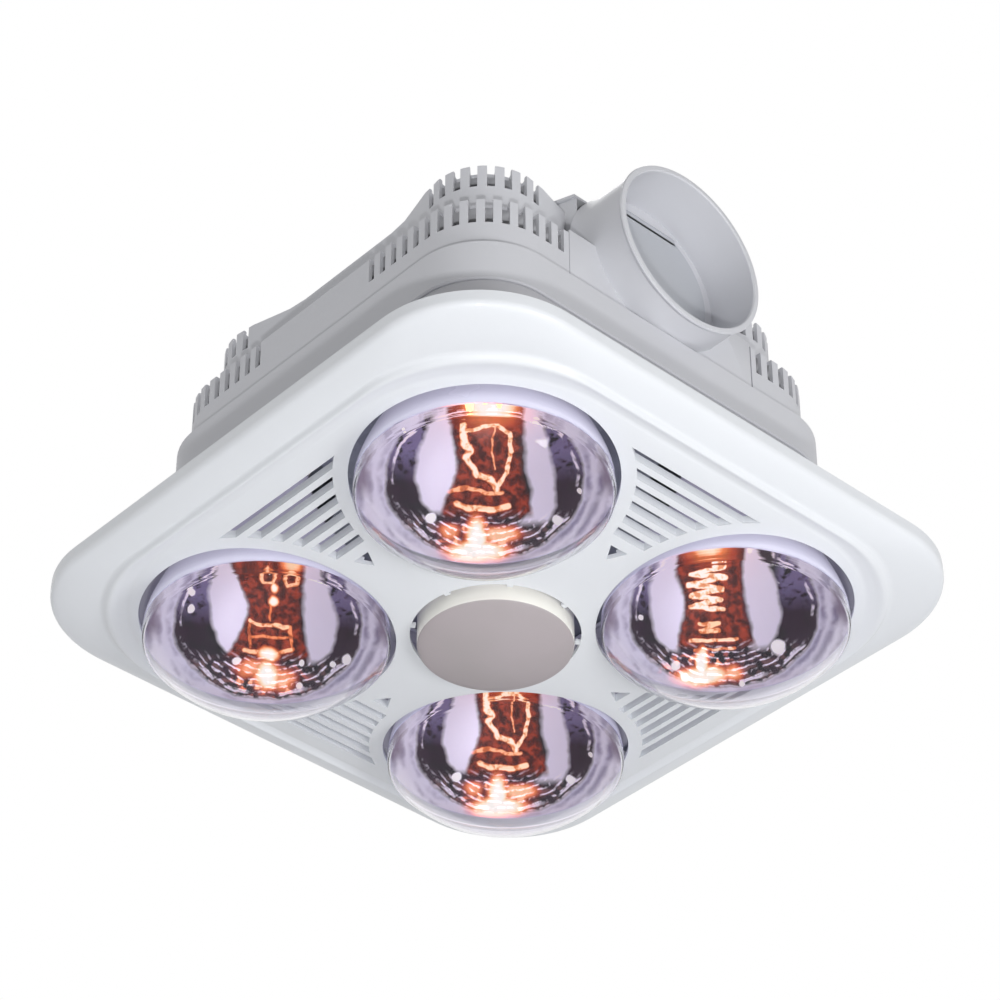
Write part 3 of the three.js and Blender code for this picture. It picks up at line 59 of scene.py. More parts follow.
def makeCamera(v):
    az, el = math.radians(v["azimuth"]), math.radians(v["elevation"])
    look = Vector((math.cos(az) * math.cos(el), math.sin(az) * math.cos(el), math.sin(el)))
    right = Vector((math.sin(az), -math.cos(az), 0))
    down = look.cross(right)
    place = -(v["right"] * right + v["down"] * down + v["distance"] * look)
    place.z -= v["ceilingBelowFit"]
    turn = Matrix((right, -down, -look)).transposed().to_4x4()
    roll = Matrix.Rotation(math.radians(v["roll"]), 4, "Z")
    data = bpy.data.cameras.new("photoCamera")
    data.sensor_width = v["sensor"]
    data.lens = v["sensor"] * v["focal"] / v["picture"]
    data.clip_end = 50
    cam = bpy.data.objects.new("photoCamera", data)
    cam.matrix_world = Matrix.Translation(place * mm) @ turn @ roll
    bpy.context.scene.collection.objects.link(cam)
    bpy.context.scene.camera = cam


makeCamera(view)
print("camera set")


# Node helpers: an input takes a number or another node's socket
def feed(tree, socket, value):
    if isinstance(value, bpy.types.NodeSocket):
        tree.links.new(value, socket)
    else:
        socket.default_value = value


def node(tree, kind, inputs=None, **settings):
    n = tree.nodes.new(kind)
    for key, value in settings.items():
        setattr(n, key, value)
    for label, value in (inputs or {}).items():
        feed(tree, n.inputs[label], value)
    return n


def math3(tree, operation, *values, clamp=False):
    inputs = dict(enumerate(values))
    return node(tree, "ShaderNodeMath", inputs, operation=operation, use_clamp=clamp).outputs[0]


def remap(tree, value, low, high, toLow, toHigh, smooth=False):
    inputs = {"Value": value, "From Min": low, "From Max": high, "To Min": toLow, "To Max": toHigh}
    kind = "SMOOTHSTEP" if smooth else "LINEAR"
    return node(tree, "ShaderNodeMapRange", inputs, clamp=True, interpolation_type=kind).outputs["Result"]


def mixColor(tree, factor, a, b, blend="MIX"):
    n = node(tree, "ShaderNodeMix", data_type="RGBA", blend_type=blend)
    for index, value in ((0, factor), (6, a), (7, b)):
        feed(tree, n.inputs[index], value)
    return n.outputs[2]


def noise(tree, vector, scale, detail=2.0):
    inputs = {"Vector": vector, "Scale": scale, "Detail": detail}
    return node(tree, "ShaderNodeTexNoise", inputs).outputs["Fac"]


def combine(tree, x=0.0, y=0.0, z=0.0):
    return node(tree, "ShaderNodeCombineXYZ", {"X": x, "Y": y, "Z": z}).outputs[0]


def objectPlace(tree):
    return node(tree, "ShaderNodeTexCoord").outputs["Object"]


# Shared shader groups
def newGroup(name, inputs, outputs):
    g = bpy.data.node_groups.new(name, "ShaderNodeTree")
    for label, kind, value in inputs:
        g.interface.new_socket(name=label, in_out="INPUT", socket_type=kind).default_value = value
    for label, kind in outputs:
        g.interface.new_socket(name=label, in_out="OUTPUT", socket_type=kind)
    return g, g.nodes.new("NodeGroupInput").outputs, g.nodes.new("NodeGroupOutput").inputs


def skinGroup(name, spread, spreadStart, size, sizeStart):
    return newGroup(
        name,
        [("Color", "NodeSocketColor", (0.8, 0.8, 0.8, 1)), (spread, "NodeSocketFloat", spreadStart),
         ("Roughness", "NodeSocketFloat", 0.4), (size, "NodeSocketFloat", sizeStart)],
        [("Color", "NodeSocketColor"), ("Roughness", "NodeSocketFloat"), ("Height", "NodeSocketFloat")],
    )


# tones and polish vary about their mean
def giveSkin(g, gin, gout, shade, spread, polish, polishSpread, height):
    amount = math3(g, "MULTIPLY_ADD", math3(g, "SUBTRACT", shade, 0.5), gin[spread], 1)
    toned = node(g, "ShaderNodeVectorMath", {0: gin["Color"], "Scale": amount}, operation="SCALE")
    rough = math3(g, "MULTIPLY_ADD", math3(g, "SUBTRACT", polish, 0.5), polishSpread, gin["Roughness"])
    for label, value in (("Color", toned.outputs[0]), ("Roughness", rough), ("Height", height)):
        g.links.new(value, gout[label])
    return g


def mouldedSkinGroup():  # slow mottling and fine spark-eroded grain of a moulding
    g, gin, gout = skinGroup("mouldedSkin", "Mottle", 0.03, "Grain Size", 0.6)
    coord = objectPlace(g)
    slow = noise(g, coord, 22, 3)
    fine = noise(g, coord, math3(g, "DIVIDE", 1000, gin["Grain Size"]))
    return giveSkin(g, gin, gout, slow, "Mottle", slow, 0.12, fine)


def sheetMetalGroup():  # zinc spangle: crystals with their own tone, and fine rolling grain
    g, gin, gout = skinGroup("sheetMetalSkin", "Spangle", 0.2, "Crystal Size", 7.0)
    coord = objectPlace(g)
    scale = math3(g, "DIVIDE", 1000, gin["Crystal Size"])
    cells = node(g, "ShaderNodeTexVoronoi", {"Vector": coord, "Scale": scale})
    tone = node(g, "ShaderNodeSeparateColor", {0: cells.outputs["Color"]}).outputs
    return giveSkin(g, gin, gout, tone[0], "Spangle", tone[1], 0.2, noise(g, coord, 900))


mouldedSkin = mouldedSkinGroup()
sheetMetalSkin = sheetMetalGroup()


def bareMaterial(name, **values):
    m = bpy.data.materials.new(name)
    m.use_nodes = True
    t = m.node_tree
    shader = t.nodes["Principled BSDF"]
    for label, value in values.items():
        shader.inputs[label].default_value = value
    return m, t, shader.inputs


def bump(tree, inputs, height, strength, depth):  # depth in mm
    relief = {"Strength": strength, "Distance": depth * mm, "Height": height}
    feed(tree, inputs["Normal"], node(tree, "ShaderNodeBump", relief).outputs["Normal"])


def skinned(name, group, values, strength, depth, coat=0.0, metallic=0.0):
    m, t, inputs = bareMaterial(name, **{"Metallic": metallic, "Coat Weight": coat, "Coat Roughness": 0.06})
    skin = node(t, "ShaderNodeGroup", node_tree=group)
    for label, value in values.items():
        skin.inputs[label].default_value = value
    feed(t, inputs["Base Color"], skin.outputs["Color"])
    feed(t, inputs["Roughness"], skin.outputs["Roughness"])
    bump(t, inputs, skin.outputs["Height"], strength, depth)
    return m


def plastic(name, color, rough=0.42, mottle=0.03, grain=0.6, relief=0.15, coat=0.0):
    values = {"Color": color, "Mottle": mottle, "Roughness": rough, "Grain Size": grain}
    return skinned(name, mouldedSkin, values, relief, 0.05, coat)


def metal(name, color, rough=0.35, spangle=0.2, crystal=7.0):
    values = {"Color": color, "Spangle": spangle, "Roughness": rough, "Crystal Size": crystal}
    return skinned(name, sheetMetalSkin, values, 0.1, 0.03, 0.0, 1.0)




fasciaWhite = plastic("fasciaWhite", srgb(230, 233, 237), rough=0.5, mottle=0.012, grain=0.9, relief=0.03,
                      coat=0.3)
housingGrey = plastic("housingGrey", srgb(212, 213, 218), rough=0.5, grain=0.7, relief=0.2)
frameGrey = plastic("frameGrey", srgb(196, 196, 201), rough=0.55, mottle=0.04, grain=0.7, relief=0.2)
flapWhite = plastic("flapWhite", srgb(190, 193, 199), rough=0.45)
boxWhite = plastic("boxWhite", srgb(222, 222, 218), rough=0.45)
fanBlack = plastic("fanBlack", srgb(44, 44, 47), rough=0.5, mottle=0.15)
glandBlack = plastic("glandBlack", srgb(38, 38, 40), rough=0.5, mottle=0.12)
holderCeramic = plastic("holderCeramic", srgb(236, 230, 218), rough=0.3, mottle=0.05, grain=2.0, coat=0.3)
zincSheet = metal("zincSheet", srgb(176, 180, 186), rough=0.38, spangle=0.3)
shaftSteel = metal("shaftSteel", srgb(198, 200, 205), rough=0.28, spangle=0.06, crystal=1.5)
stripSteel = metal("stripSteel", srgb(140, 144, 150), spangle=0.08, crystal=2.0)
capBrass = metal("capBrass", srgb(206, 176, 110), rough=0.3, spangle=0.08, crystal=2.5)
windingCopper = metal("windingCopper", srgb(176, 108, 62), rough=0.4, spangle=0.35, crystal=1.2)
print("materials for mouldings and metals made")


# Mesh helpers, all lengths in mm until the mesh is made
def makePiece(name, points, faces, materials, faceMaterial=None, smoothAngle=35, attributes=None):
    mesh = bpy.data.meshes.new(name)
    mesh.from_pydata([(x * mm, y * mm, z * mm) for x, y, z in points], [], faces)
    bm = bmesh.new()
    bm.from_mesh(mesh)
    bmesh.ops.recalc_face_normals(bm, faces=bm.faces)
    bm.to_mesh(mesh)
    bm.free()
    for m in materials:
        mesh.materials.append(m)
    if faceMaterial:
        for p in mesh.polygons:
            p.material_index = faceMaterial(p.center / mm, p.normal)
    for label, rows in (attributes or {}).items():
        a = mesh.attributes.new(label, "FLOAT_VECTOR", "POINT")
        a.data.foreach_set("vector", [c for row in rows for c in row])
    smoothEdges(mesh, smoothAngle)
    obj = bpy.data.objects.new(name, mesh)
    bpy.context.scene.collection.objects.link(obj)
    return obj


def smoothEdges(mesh, angle):
    for p in mesh.polygons:
        p.use_smooth = abs(p.normal.z) < 0.99999  # level faces stay flat
    mesh.set_sharp_from_angle(angle=math.radians(angle))


def finished(obj, angle=35):  # the evaluated result as a plain mesh, without its modifiers
    bpy.context.view_layer.update()
    graph = bpy.context.evaluated_depsgraph_get()
    evaluated = obj.evaluated_get(graph)
    mesh = bpy.data.meshes.new_from_object(evaluated, preserve_all_data_layers=True, depsgraph=graph)
    obj.modifiers.clear()
    mesh.name = obj.name
    obj.data = mesh
    smoothEdges(mesh, angle)
    return obj


def joinTo(obj, *others):
    bpy.ops.object.select_all(action="DESELECT")
    for o in (obj, *others):
        o.select_set(True)
    bpy.context.view_layer.objects.active = obj
    bpy.ops.object.join()


def bevelled(obj, width):
    edge = obj.modifiers.new("edge", "BEVEL")
    edge.width = width * mm
    edge.segments = 2
    return finished(obj)


def cutBy(obj, cutters):
    for c in cutters:
        m = obj.modifiers.new("cut", "BOOLEAN")
        m.operation = "DIFFERENCE"
        m.solver = "EXACT"
        m.object = c
    finished(obj)
    for c in cutters:
        bpy.data.objects.remove(c)
    return obj


def latheData(profile, segments, place=(0, 0)):  # closed loop of radius and height, about Z
    points, faces, rows = [], [], []
    for r, z in profile:
        if r < 1e-6:
            points.append((place[0], place[1], z))
            rows.append([len(points) - 1] * segments)
        else:
            rows.append(list(range(len(points), len(points) + segments)))
            for i in range(segments):
                a = 2 * math.pi * i / segments
                points.append((place[0] + r * math.cos(a), place[1] + r * math.sin(a), z))
    closed = profile[0] != profile[-1] and profile[0][0] > 1e-6
    for k in range(len(rows) if closed else len(rows) - 1):
        a, b = rows[k], rows[(k + 1) % len(rows)]
        for i in range(segments):
            j = (i + 1) % segments
            corners = list(dict.fromkeys((a[i], a[j], b[j], b[i])))
            if len(corners) > 2:
                faces.append(corners)
    return points, faces


def latheAlongDuct(profile, segments, level):  # radius against reach towards -Y
    points, faces = latheData(profile, segments)
    return [(x, -z, level + y) for x, y, z in points], faces


def ringsData(rings):  # skin over a loop of rings of equal count
    count = len(rings[0])
    points = [p for ring in rings for p in ring]
    faces = []
    for k in range(len(rings)):
        low, high = k * count, ((k + 1) % len(rings)) * count
        for i in range(count):
            j = (i + 1) % count
            faces.append((low + i, low + j, high + j, high + i))
    return points, faces


def spline(points, steps):  # smooth run through the points, with no overshoot worth seeing
    out = []
    last = len(points) - 1
    for i in range(last):
        near = (points[max(0, i - 1)], points[i], points[i + 1], points[min(last, i + 2)])
        for s in range(steps):
            t = s / steps
            row = []
            for a, b, c, d in zip(*near):
                row.append(0.5 * (2 * b + (c - a) * t + (2 * a - 5 * b + 4 * c - d) * t * t
                                  + (3 * b - a - 3 * c + d) * t ** 3))
            out.append(tuple(row))
    out.append(tuple(points[-1]))
    return out


def pinchShare(share):  # how far a side's middle is drawn in, against its corner parts
    start = 0.45
    along = min(1, max(0, (abs(share) - start) / (1 - start)))
    return 1 - along * along * (3 - 2 * along)


def squareOutline(half, radius, pinch=0, arcSteps=16, sideSteps=14):
    centre = half - radius
    quarter = []
    for i in range(arcSteps + 1):
        a = math.pi / 2 * i / arcSteps
        quarter.append((centre + radius * math.cos(a), centre + radius * math.sin(a)))
    for i in range(1, sideSteps):
        share = 2 * i / sideSteps - 1
        quarter.append((-centre * share, half - pinch * pinchShare(share)))
    outline = []
    for c, s in ((1, 0), (0, 1), (-1, 0), (0, -1)):
        outline += [(x * c - y * s, x * s + y * c) for x, y in quarter]
    return outline


def tubeData(path, radius, sides):
    points, faces = [], []
    last = len(path) - 1
    vectors = [Vector(p) for p in path]
    side = (vectors[1] - vectors[0]).normalized().orthogonal()
    for i, p in enumerate(vectors):
        run = (vectors[min(last, i + 1)] - vectors[max(0, i - 1)]).normalized()
        side = (side - run * side.dot(run)).normalized()
        up = run.cross(side)
        for k in range(sides):
            a = 2 * math.pi * k / sides
            points.append(tuple(p + side * radius * math.cos(a) + up * radius * math.sin(a)))
    for i in range(last):
        low, high = i * sides, (i + 1) * sides
        for k in range(sides):
            j = (k + 1) % sides
            faces.append((low + k, low + j, high + j, high + k))
    faces += [tuple(range(sides))[::-1], tuple(last * sides + k for k in range(sides))]
    return points, faces


def prismData(outline, low, high):
    count = len(outline)
    points = [(x, y, z) for z in (low, high) for x, y in outline]
    faces = [tuple(range(count))[::-1], tuple(range(count, 2 * count))]
    for i in range(count):
        j = (i + 1) % count
        faces.append((i, j, count + j, count + i))
    return points, faces


def boxData(low, high):
    (x0, y0, z0), (x1, y1, z1) = low, high
    points = [(x, y, z) for z in (z0, z1) for y in (y0, y1) for x in (x0, x1)]
    return points, [(0, 2, 3, 1), (4, 5, 7, 6), (0, 1, 5, 4), (2, 6, 7, 3), (0, 4, 6, 2), (1, 3, 7, 5)]


def together(*parts):  # one mesh of many, with the number of the part that each face comes from
    points, faces, marks = [], [], []
    for k, (p, f) in enumerate(parts):
        base = len(points)
        points += p
        faces += [tuple(base + c for c in face) for face in f]
        marks += [k] * len(f)
    return points, faces, marks




# Geometry node helpers
def newTree(name, inputs):
    t = bpy.data.node_groups.new(name, "GeometryNodeTree")
    t.interface.new_socket(name="Geometry", in_out="INPUT", socket_type="NodeSocketGeometry")
    for label, value in inputs.items():
        kind = "NodeSocketInt" if isinstance(value, int) else "NodeSocketFloat"
        t.interface.new_socket(name=label, in_out="INPUT", socket_type=kind).default_value = value
    t.interface.new_socket(name="Geometry", in_out="OUTPUT", socket_type="NodeSocketGeometry")
    return t, t.nodes.new("NodeGroupInput").outputs, t.nodes.new("NodeGroupOutput").inputs


def applyTree(obj, tree, values, angle=35):
    mod = obj.modifiers.new(tree.name, "NODES")
    mod.node_group = tree
    sockets = {s.name: s.identifier for s in tree.interface.items_tree if s.in_out == "INPUT"}
    for label, value in values.items():
        mod[sockets[label]] = value
    return finished(obj, angle)


def realized(tree, geometry):
    return node(tree, "GeometryNodeRealizeInstances", {0: geometry}).outputs[0]


def giveOut(tree, gout, geometry, material):
    paint = {"Geometry": realized(tree, geometry), "Material": material}
    feed(tree, gout[0], node(tree, "GeometryNodeSetMaterial", paint).outputs[0])
    return tree


def moved(tree, geometry, **how):
    return node(tree, "GeometryNodeTransform", {"Geometry": geometry, **how}).outputs[0]


def box(tree, size):
    return node(tree, "GeometryNodeMeshCube", {"Size": size}).outputs[0]


def cylinder(tree, vertices, radius, depth):
    inputs = {"Vertices": vertices, "Radius": radius, "Depth": depth}
    return node(tree, "GeometryNodeMeshCylinder", inputs).outputs[0]


def pointLine(tree, count, start, step):
    inputs = {"Count": count, "Start Location": start, "Offset": step}
    return node(tree, "GeometryNodeMeshLine", inputs).outputs[0]


def circleOf(tree, vertices, radius):
    return node(tree, "GeometryNodeMeshCircle", {"Vertices": vertices, "Radius": radius}).outputs[0]


def instances(tree, points, instance, turn=None):
    inputs = {"Points": points, "Instance": instance}
    if turn:
        inputs["Rotation"] = turn
    return node(tree, "GeometryNodeInstanceOnPoints", inputs).outputs[0]


def stepTurn(tree, step, start=0.0):  # each point's turn about Z, by its number
    index = node(tree, "GeometryNodeInputIndex").outputs[0]
    return combine(tree, z=math3(tree, "MULTIPLY_ADD", index, step, start))


def quarterTurns(tree, geometry):  # four copies about Z
    line = pointLine(tree, 4, (0, 0, 0), (0, 0, 0))
    return realized(tree, instances(tree, line, geometry, stepTurn(tree, math.pi / 2)))


def joined(tree, *parts):
    n = node(tree, "GeometryNodeJoinGeometry")
    for part in parts:
        tree.links.new(part, n.inputs[0])
    return n.outputs[0]


def cutFrom(tree, body, cutters):
    inputs = {"Mesh 1": body, "Mesh 2": cutters}
    return node(tree, "GeometryNodeMeshBoolean", inputs, operation="DIFFERENCE", solver="EXACT").outputs[0]


# Fascia
fascia = {
    "half": 177, "cornerRadius": 60, "cornerGrowth": 19, "wall": 2.5,
    "bandWidth": 24, "edgeDrop": 17, "crownDrop": 14.8,
    "lampOffset": 81.3, "lampHole": 65, "globeHole": 43,
    "louvreFirst": 140.5, "louvrePitch": 8.5, "louvreWidth": 5, "louvreCount": 6, "louvreMargin": 7.3,
    "arrowBase": 89, "arrowLength": 9, "arrowHalf": 5.5,
    "ribLength": 61, "ribDepth": 3.2, "ribLean": 8.25, "ribPlace": 114.7, "ribLevel": -21.7,
    "nibCount": 8, "nibReach": 2.4, "nibPhase": 12.5, "nibLength": 5.2, "nibWidth": 3, "nibThickness": 1.4,
    # inset from the outline, level, growth share of the corner radius
    "band": [(0, 0, 0), (0, -3, 0), (0, -5.6, 0), (0.5, -7.4, 0), (1.7, -8.9, 0.02), (4, -10.2, 0.08),
             (7, -11.6, 0.2), (10.5, -12.9, 0.38), (13, -13.6, 0.58), (14.5, -14.0, 0.7), (15.3, -14.9, 0.78),
             (15.9, -16.2, 0.84), (16.6, -16.95, 0.9), (17.5, -17.0, 0.95), (19, -16.6, 1), (21.5, -16.35, 1),
             (22.8, -16.5, 1), (24, -17, 1)],
}


def panelLevel(x, y):
    h = fascia["half"] - fascia["bandWidth"]
    return -fascia["edgeDrop"] - fascia["crownDrop"] * max(0, 1 - (x / h) ** 2) * max(0, 1 - (y / h) ** 2)


def fasciaShell():
    f = fascia
    front, back = [], []

    def ring(half, radius):
        return squareOutline(half, radius, 0, 22, 18)
    for inset, level, growth in spline(f["band"], 3):
        inset, growth = max(0, inset), min(1, max(0, growth))
        outline = ring(f["half"] - inset, f["cornerRadius"] + growth * f["cornerGrowth"])
        front.append([(x, y, level) for x, y in outline])
    for inset, level, growth in f["band"][::2] + [f["band"][-1]]:
        inside = f["wall"] + inset * (f["bandWidth"] - f["wall"]) / f["bandWidth"]
        high = level * (f["edgeDrop"] - f["wall"]) / f["edgeDrop"]
        outline = ring(f["half"] - inside, f["cornerRadius"] + growth * f["cornerGrowth"])
        back.append([(x, y, high) for x, y in outline])
    half = f["half"] - f["bandWidth"]
    radius = f["cornerRadius"] + f["cornerGrowth"]
    for k in range(1, 13):
        share = 1 - k / 13
        outline = ring(half * share, radius * share)
        front.append([(x, y, panelLevel(x, y)) for x, y in outline])
        back.append([(x, y, panelLevel(x, y) + f["wall"]) for x, y in outline])
    return ringsData(front[::-1] + back)


def louvreTree():
    t, o, gout = newTree("fasciaLouvres", {
        "First": 0.14, "Pitch": 0.0085, "Slot Width": 0.005, "Count": 6, "Keep Out": 0.0723,
        "Lamp Offset": 0.0813, "Lamp Hole": 0.065, "Globe Hole": 0.043,
        "Arrow Base": 0.089, "Arrow Length": 0.009, "Arrow Half": 0.0055,
        "Nib Count": 8, "Nib Phase": 0.2, "Nib Level": -0.031, "Nib Radius": 0.042, "Rib Length": 0.061,
        "Rib Depth": 0.007, "Rib Lean": 0.144, "Rib Place": 0.1147, "Rib Level": -0.0217,
    })
    hair = 0.0001  # by which the slots in the ribs are narrower all round, so that no faces coincide

    def do(operation, *values):
        return math3(t, operation, *values)

    def shrunk(value, by):
        return do("SUBTRACT", value, by) if by else value

    def keepOutDiscs(radius):  # the discs that keep what they cut off the lamp holes
        pair = pointLine(t, 2, combine(t, do("MULTIPLY", o["Lamp Offset"], -1), o["Lamp Offset"]),
                         combine(t, do("MULTIPLY", o["Lamp Offset"], 2)))
        return realized(t, instances(t, pair, cylinder(t, 96, radius, 0.2)))

    def slotsOfOneSide(by):  # bars on a line, less the discs, and the small arrow that ends the group
        step = combine(t, y=do("MULTIPLY", o["Pitch"], -1))
        line = pointLine(t, o["Count"], combine(t, y=o["First"]), step)
        bar = box(t, combine(t, 0.16, shrunk(o["Slot Width"], 2 * by), 0.05))
        slots = cutFrom(t, realized(t, instances(t, line, bar)), keepOutDiscs(shrunk(o["Keep Out"], -by)))
        arrow = moved(t, cylinder(t, 3, 1, 1), Rotation=(0, 0, -math.pi / 2))
        third = do("DIVIDE", o["Arrow Length"], 1.5)
        across = shrunk(do("DIVIDE", o["Arrow Half"], 0.866), 2 * by)
        scale = combine(t, across, shrunk(third, 2 * by), 0.05)
        place = combine(t, y=do("MULTIPLY_ADD", third, -0.5, o["Arrow Base"]))
        return joined(t, slots, moved(t, arrow, Scale=scale, Translation=place))

    # deep ribs behind each group of slots
    middle = do("MULTIPLY_ADD", o["Rib Depth"], 0.5, o["Rib Level"])
    ribs = moved(t, box(t, combine(t, 0.1, o["Rib Length"], o["Rib Depth"])),
                 Rotation=combine(t, o["Rib Lean"]), Translation=combine(t, y=o["Rib Place"], z=middle))
    ribs = cutFrom(t, ribs, keepOutDiscs(shrunk(o["Keep Out"], 0.0025)))
    ribs = cutFrom(t, ribs, moved(t, slotsOfOneSide(hair), Translation=(0, 0, -0.02)))
    # the panel less its lamp holes, its centre hole and its slots
    lampPlace = combine(t, o["Lamp Offset"], o["Lamp Offset"])
    lampHole = moved(t, cylinder(t, 128, o["Lamp Hole"], 0.1), Translation=lampPlace)
    body = cutFrom(t, o["Geometry"], quarterTurns(t, lampHole))
    body = cutFrom(t, body, cylinder(t, 96, o["Globe Hole"], 0.1))
    body = cutFrom(t, body, quarterTurns(t, moved(t, slotsOfOneSide(0), Translation=(0, 0, -0.024))))
    # snap nibs round the centre hole
    circle = circleOf(t, o["Nib Count"], o["Nib Radius"])
    turn = stepTurn(t, do("DIVIDE", 2 * math.pi, o["Nib Count"]))
    nib = box(t, [fascia[key] * mm for key in ("nibLength", "nibWidth", "nibThickness")])
    nibs = moved(t, instances(t, circle, nib, turn),
                 Translation=combine(t, z=o["Nib Level"]), Rotation=combine(t, z=o["Nib Phase"]))
    return giveOut(t, gout, joined(t, body, nibs, quarterTurns(t, ribs)), fasciaWhite)


def buildFascia():
    f = fascia
    lengths = {
        "First": f["louvreFirst"], "Pitch": f["louvrePitch"], "Slot Width": f["louvreWidth"],
        "Keep Out": f["lampHole"] + f["louvreMargin"], "Lamp Offset": f["lampOffset"],
        "Lamp Hole": f["lampHole"], "Globe Hole": f["globeHole"],
        "Arrow Base": f["arrowBase"], "Arrow Length": f["arrowLength"], "Arrow Half": f["arrowHalf"],
        "Nib Level": panelLevel(f["globeHole"], 0) + f["wall"] / 2,
        "Nib Radius": f["globeHole"] - f["nibReach"] + f["nibLength"] / 2,
        "Rib Length": f["ribLength"], "Rib Depth": f["ribDepth"], "Rib Place": f["ribPlace"],
        "Rib Level": f["ribLevel"],
    }
    values = {label: value * mm for label, value in lengths.items()}
    values.update({"Count": f["louvreCount"], "Nib Count": f["nibCount"],
                   "Nib Phase": math.radians(f["nibPhase"]), "Rib Lean": math.radians(f["ribLean"])})
    points, faces = fasciaShell()
    obj = makePiece("heaterFascia", points, faces, [fasciaWhite])
    applyTree(obj, louvreTree(), values, 30)
    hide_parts("fascia")
    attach(obj, "fascia_panel")


buildFascia()
print("fascia made")


# Housing: base ring and two slotted tiers
housing = {
    "wall": 2.2, "gap": 0.3, "edge": 0.7, "upperEdge": 0.56, "slotWidth": 4,
    "base": {"half": 130, "radius": 41.5, "bottom": 60.3, "top": 84.5, "flange": 8},
    "lower": {"half": 124.5, "radius": 39, "bottom": 84.8, "top": 118.5, "flange": 12,
              "slots": 18, "pitch": 8.4, "slotHeight": 16, "slotDepth": 5},
    "upper": {"half": 112, "radius": 32, "foot": 88.8, "top": 155, "lidDrop": 2.5, "lidHole": 59.4,
              "pinch": 8.5, "arch": 118, "archShare": 0.5, "holeShare": 0.9,
              "slots": 8, "pitch": 8.9, "slotHeight": 14.5, "slotDepth": 4.2},
}


def squareShell(name, profile, material):
    rings = []
    for half, radius, pinch, level in profile:
        rings.append([(x, y, level) for x, y in squareOutline(half, max(radius, 0.5), pinch)])
    points, faces = ringsData(rings)
    return makePiece(name, points, faces, [material])


def eased(profile, edge):  # a small chamfer at each outer corner of the section
    out = []
    for i, corner in enumerate(profile):
        for other in (profile[i - 1], profile[(i + 1) % len(profile)]):
            run = Vector((other[0] - corner[0], other[3] - corner[3]))
            share = min(edge, run.length * 0.35) / run.length if run.length else 0
            out.append(tuple(a + (b - a) * share for a, b in zip(corner, other)))
    return out


def ventTree():
    t, o, gout = newTree("tierVents", {
        "Half": 0.12, "Corner Radius": 0.04, "Run": 0.08, "Slots": 18, "Slot Width": 0.004,
        "Slot Height": 0.02, "Bottom": 0.1, "Depth": 0.01, "Duct Half": 0.0,
    })

    def do(operation, *values):
        return math3(t, operation, *values)

    def cornerPart(number):  # the half width, less the run at the path's point of this number
        here = do("COMPARE", node(t, "GeometryNodeInputIndex").outputs[0], number, 0.1)
        return do("MULTIPLY_ADD", here, do("MULTIPLY", o["Run"], -1), o["Half"])
    # path round one corner: an L with its corner rounded, walked at the pitch
    height = do("MULTIPLY_ADD", o["Slot Height"], 0.5, o["Bottom"])
    spot = {"Geometry": node(t, "GeometryNodeMeshLine", {"Count": 3}).outputs[0],
            "Position": combine(t, cornerPart(2), cornerPart(0), height)}
    path = node(t, "GeometryNodeMeshToCurve", {"Mesh": node(t, "GeometryNodeSetPosition", spot).outputs[0]})
    bend = {"Curve": path.outputs[0], "Radius": o["Corner Radius"], "Count": 40}
    fillet = node(t, "GeometryNodeFilletCurve", mode="POLY")
    for label, value in bend.items():
        feed(t, fillet.inputs[label], value)
    walk = node(t, "GeometryNodeCurveToPoints", {"Curve": fillet.outputs[0], "Count": o["Slots"]}).outputs
    face = node(t, "FunctionNodeAlignRotationToVector", {"Vector": walk["Tangent"]}, axis="Y").outputs[0]
    slot = box(t, combine(t, o["Depth"], o["Slot Width"], o["Slot Height"]))
    slots = quarterTurns(t, instances(t, walk["Points"], slot, face))
    # slots that would run into the duct panel are dropped
    place = node(t, "ShaderNodeSeparateXYZ", {0: node(t, "GeometryNodeInputPosition").outputs[0]}).outputs
    inPanel = do("LESS_THAN", do("ABSOLUTE", place[0]), o["Duct Half"])
    onDuctSide = do("LESS_THAN", place[1], do("MULTIPLY", o["Half"], -0.9))
    dropped = {"Geometry": slots, "Selection": do("MULTIPLY", inPanel, onDuctSide)}
    kept = node(t, "GeometryNodeDeleteGeometry", dropped, domain="POINT").outputs[0]
    return giveOut(t, gout, cutFrom(t, o["Geometry"], kept), housingGrey)


tierVents = ventTree()


def cutVents(obj, tier, ductHalf=0.0):
    radius = tier["radius"]
    run = ((tier["slots"] - 1) * tier["pitch"] + 2 * radius - math.pi * radius / 2) / 2
    lengths = {
        "Half": tier["half"], "Corner Radius": radius, "Run": run, "Slot Width": housing["slotWidth"],
        "Slot Height": tier["slotHeight"] + overrun, "Bottom": tier["top"] - tier["slotHeight"],
        "Depth": 2 * tier["slotDepth"], "Duct Half": ductHalf,
    }
    values = {label: value * mm for label, value in lengths.items()}
    values["Slots"] = tier["slots"]
    return applyTree(obj, tierVents, values)


scroll = {"half": 42, "radius": 66, "growth": 10, "mouth": -109.2, "gap": 4.8, "steps": 48}


def scrollOutline(s):
    half, radius = s["half"] + s["gap"], s["radius"] + s["gap"]
    start = -math.acos(half / radius)
    sweep = math.pi - start + math.pi / 12
    outline = [(half, s["mouth"])]
    for i in range(s["steps"] + 1):
        share = i / s["steps"]
        a = start + share * sweep
        r = radius + s["growth"] * share
        outline.append((r * math.cos(a), r * math.sin(a)))
    outline.append((-half, s["mouth"]))
    return outline


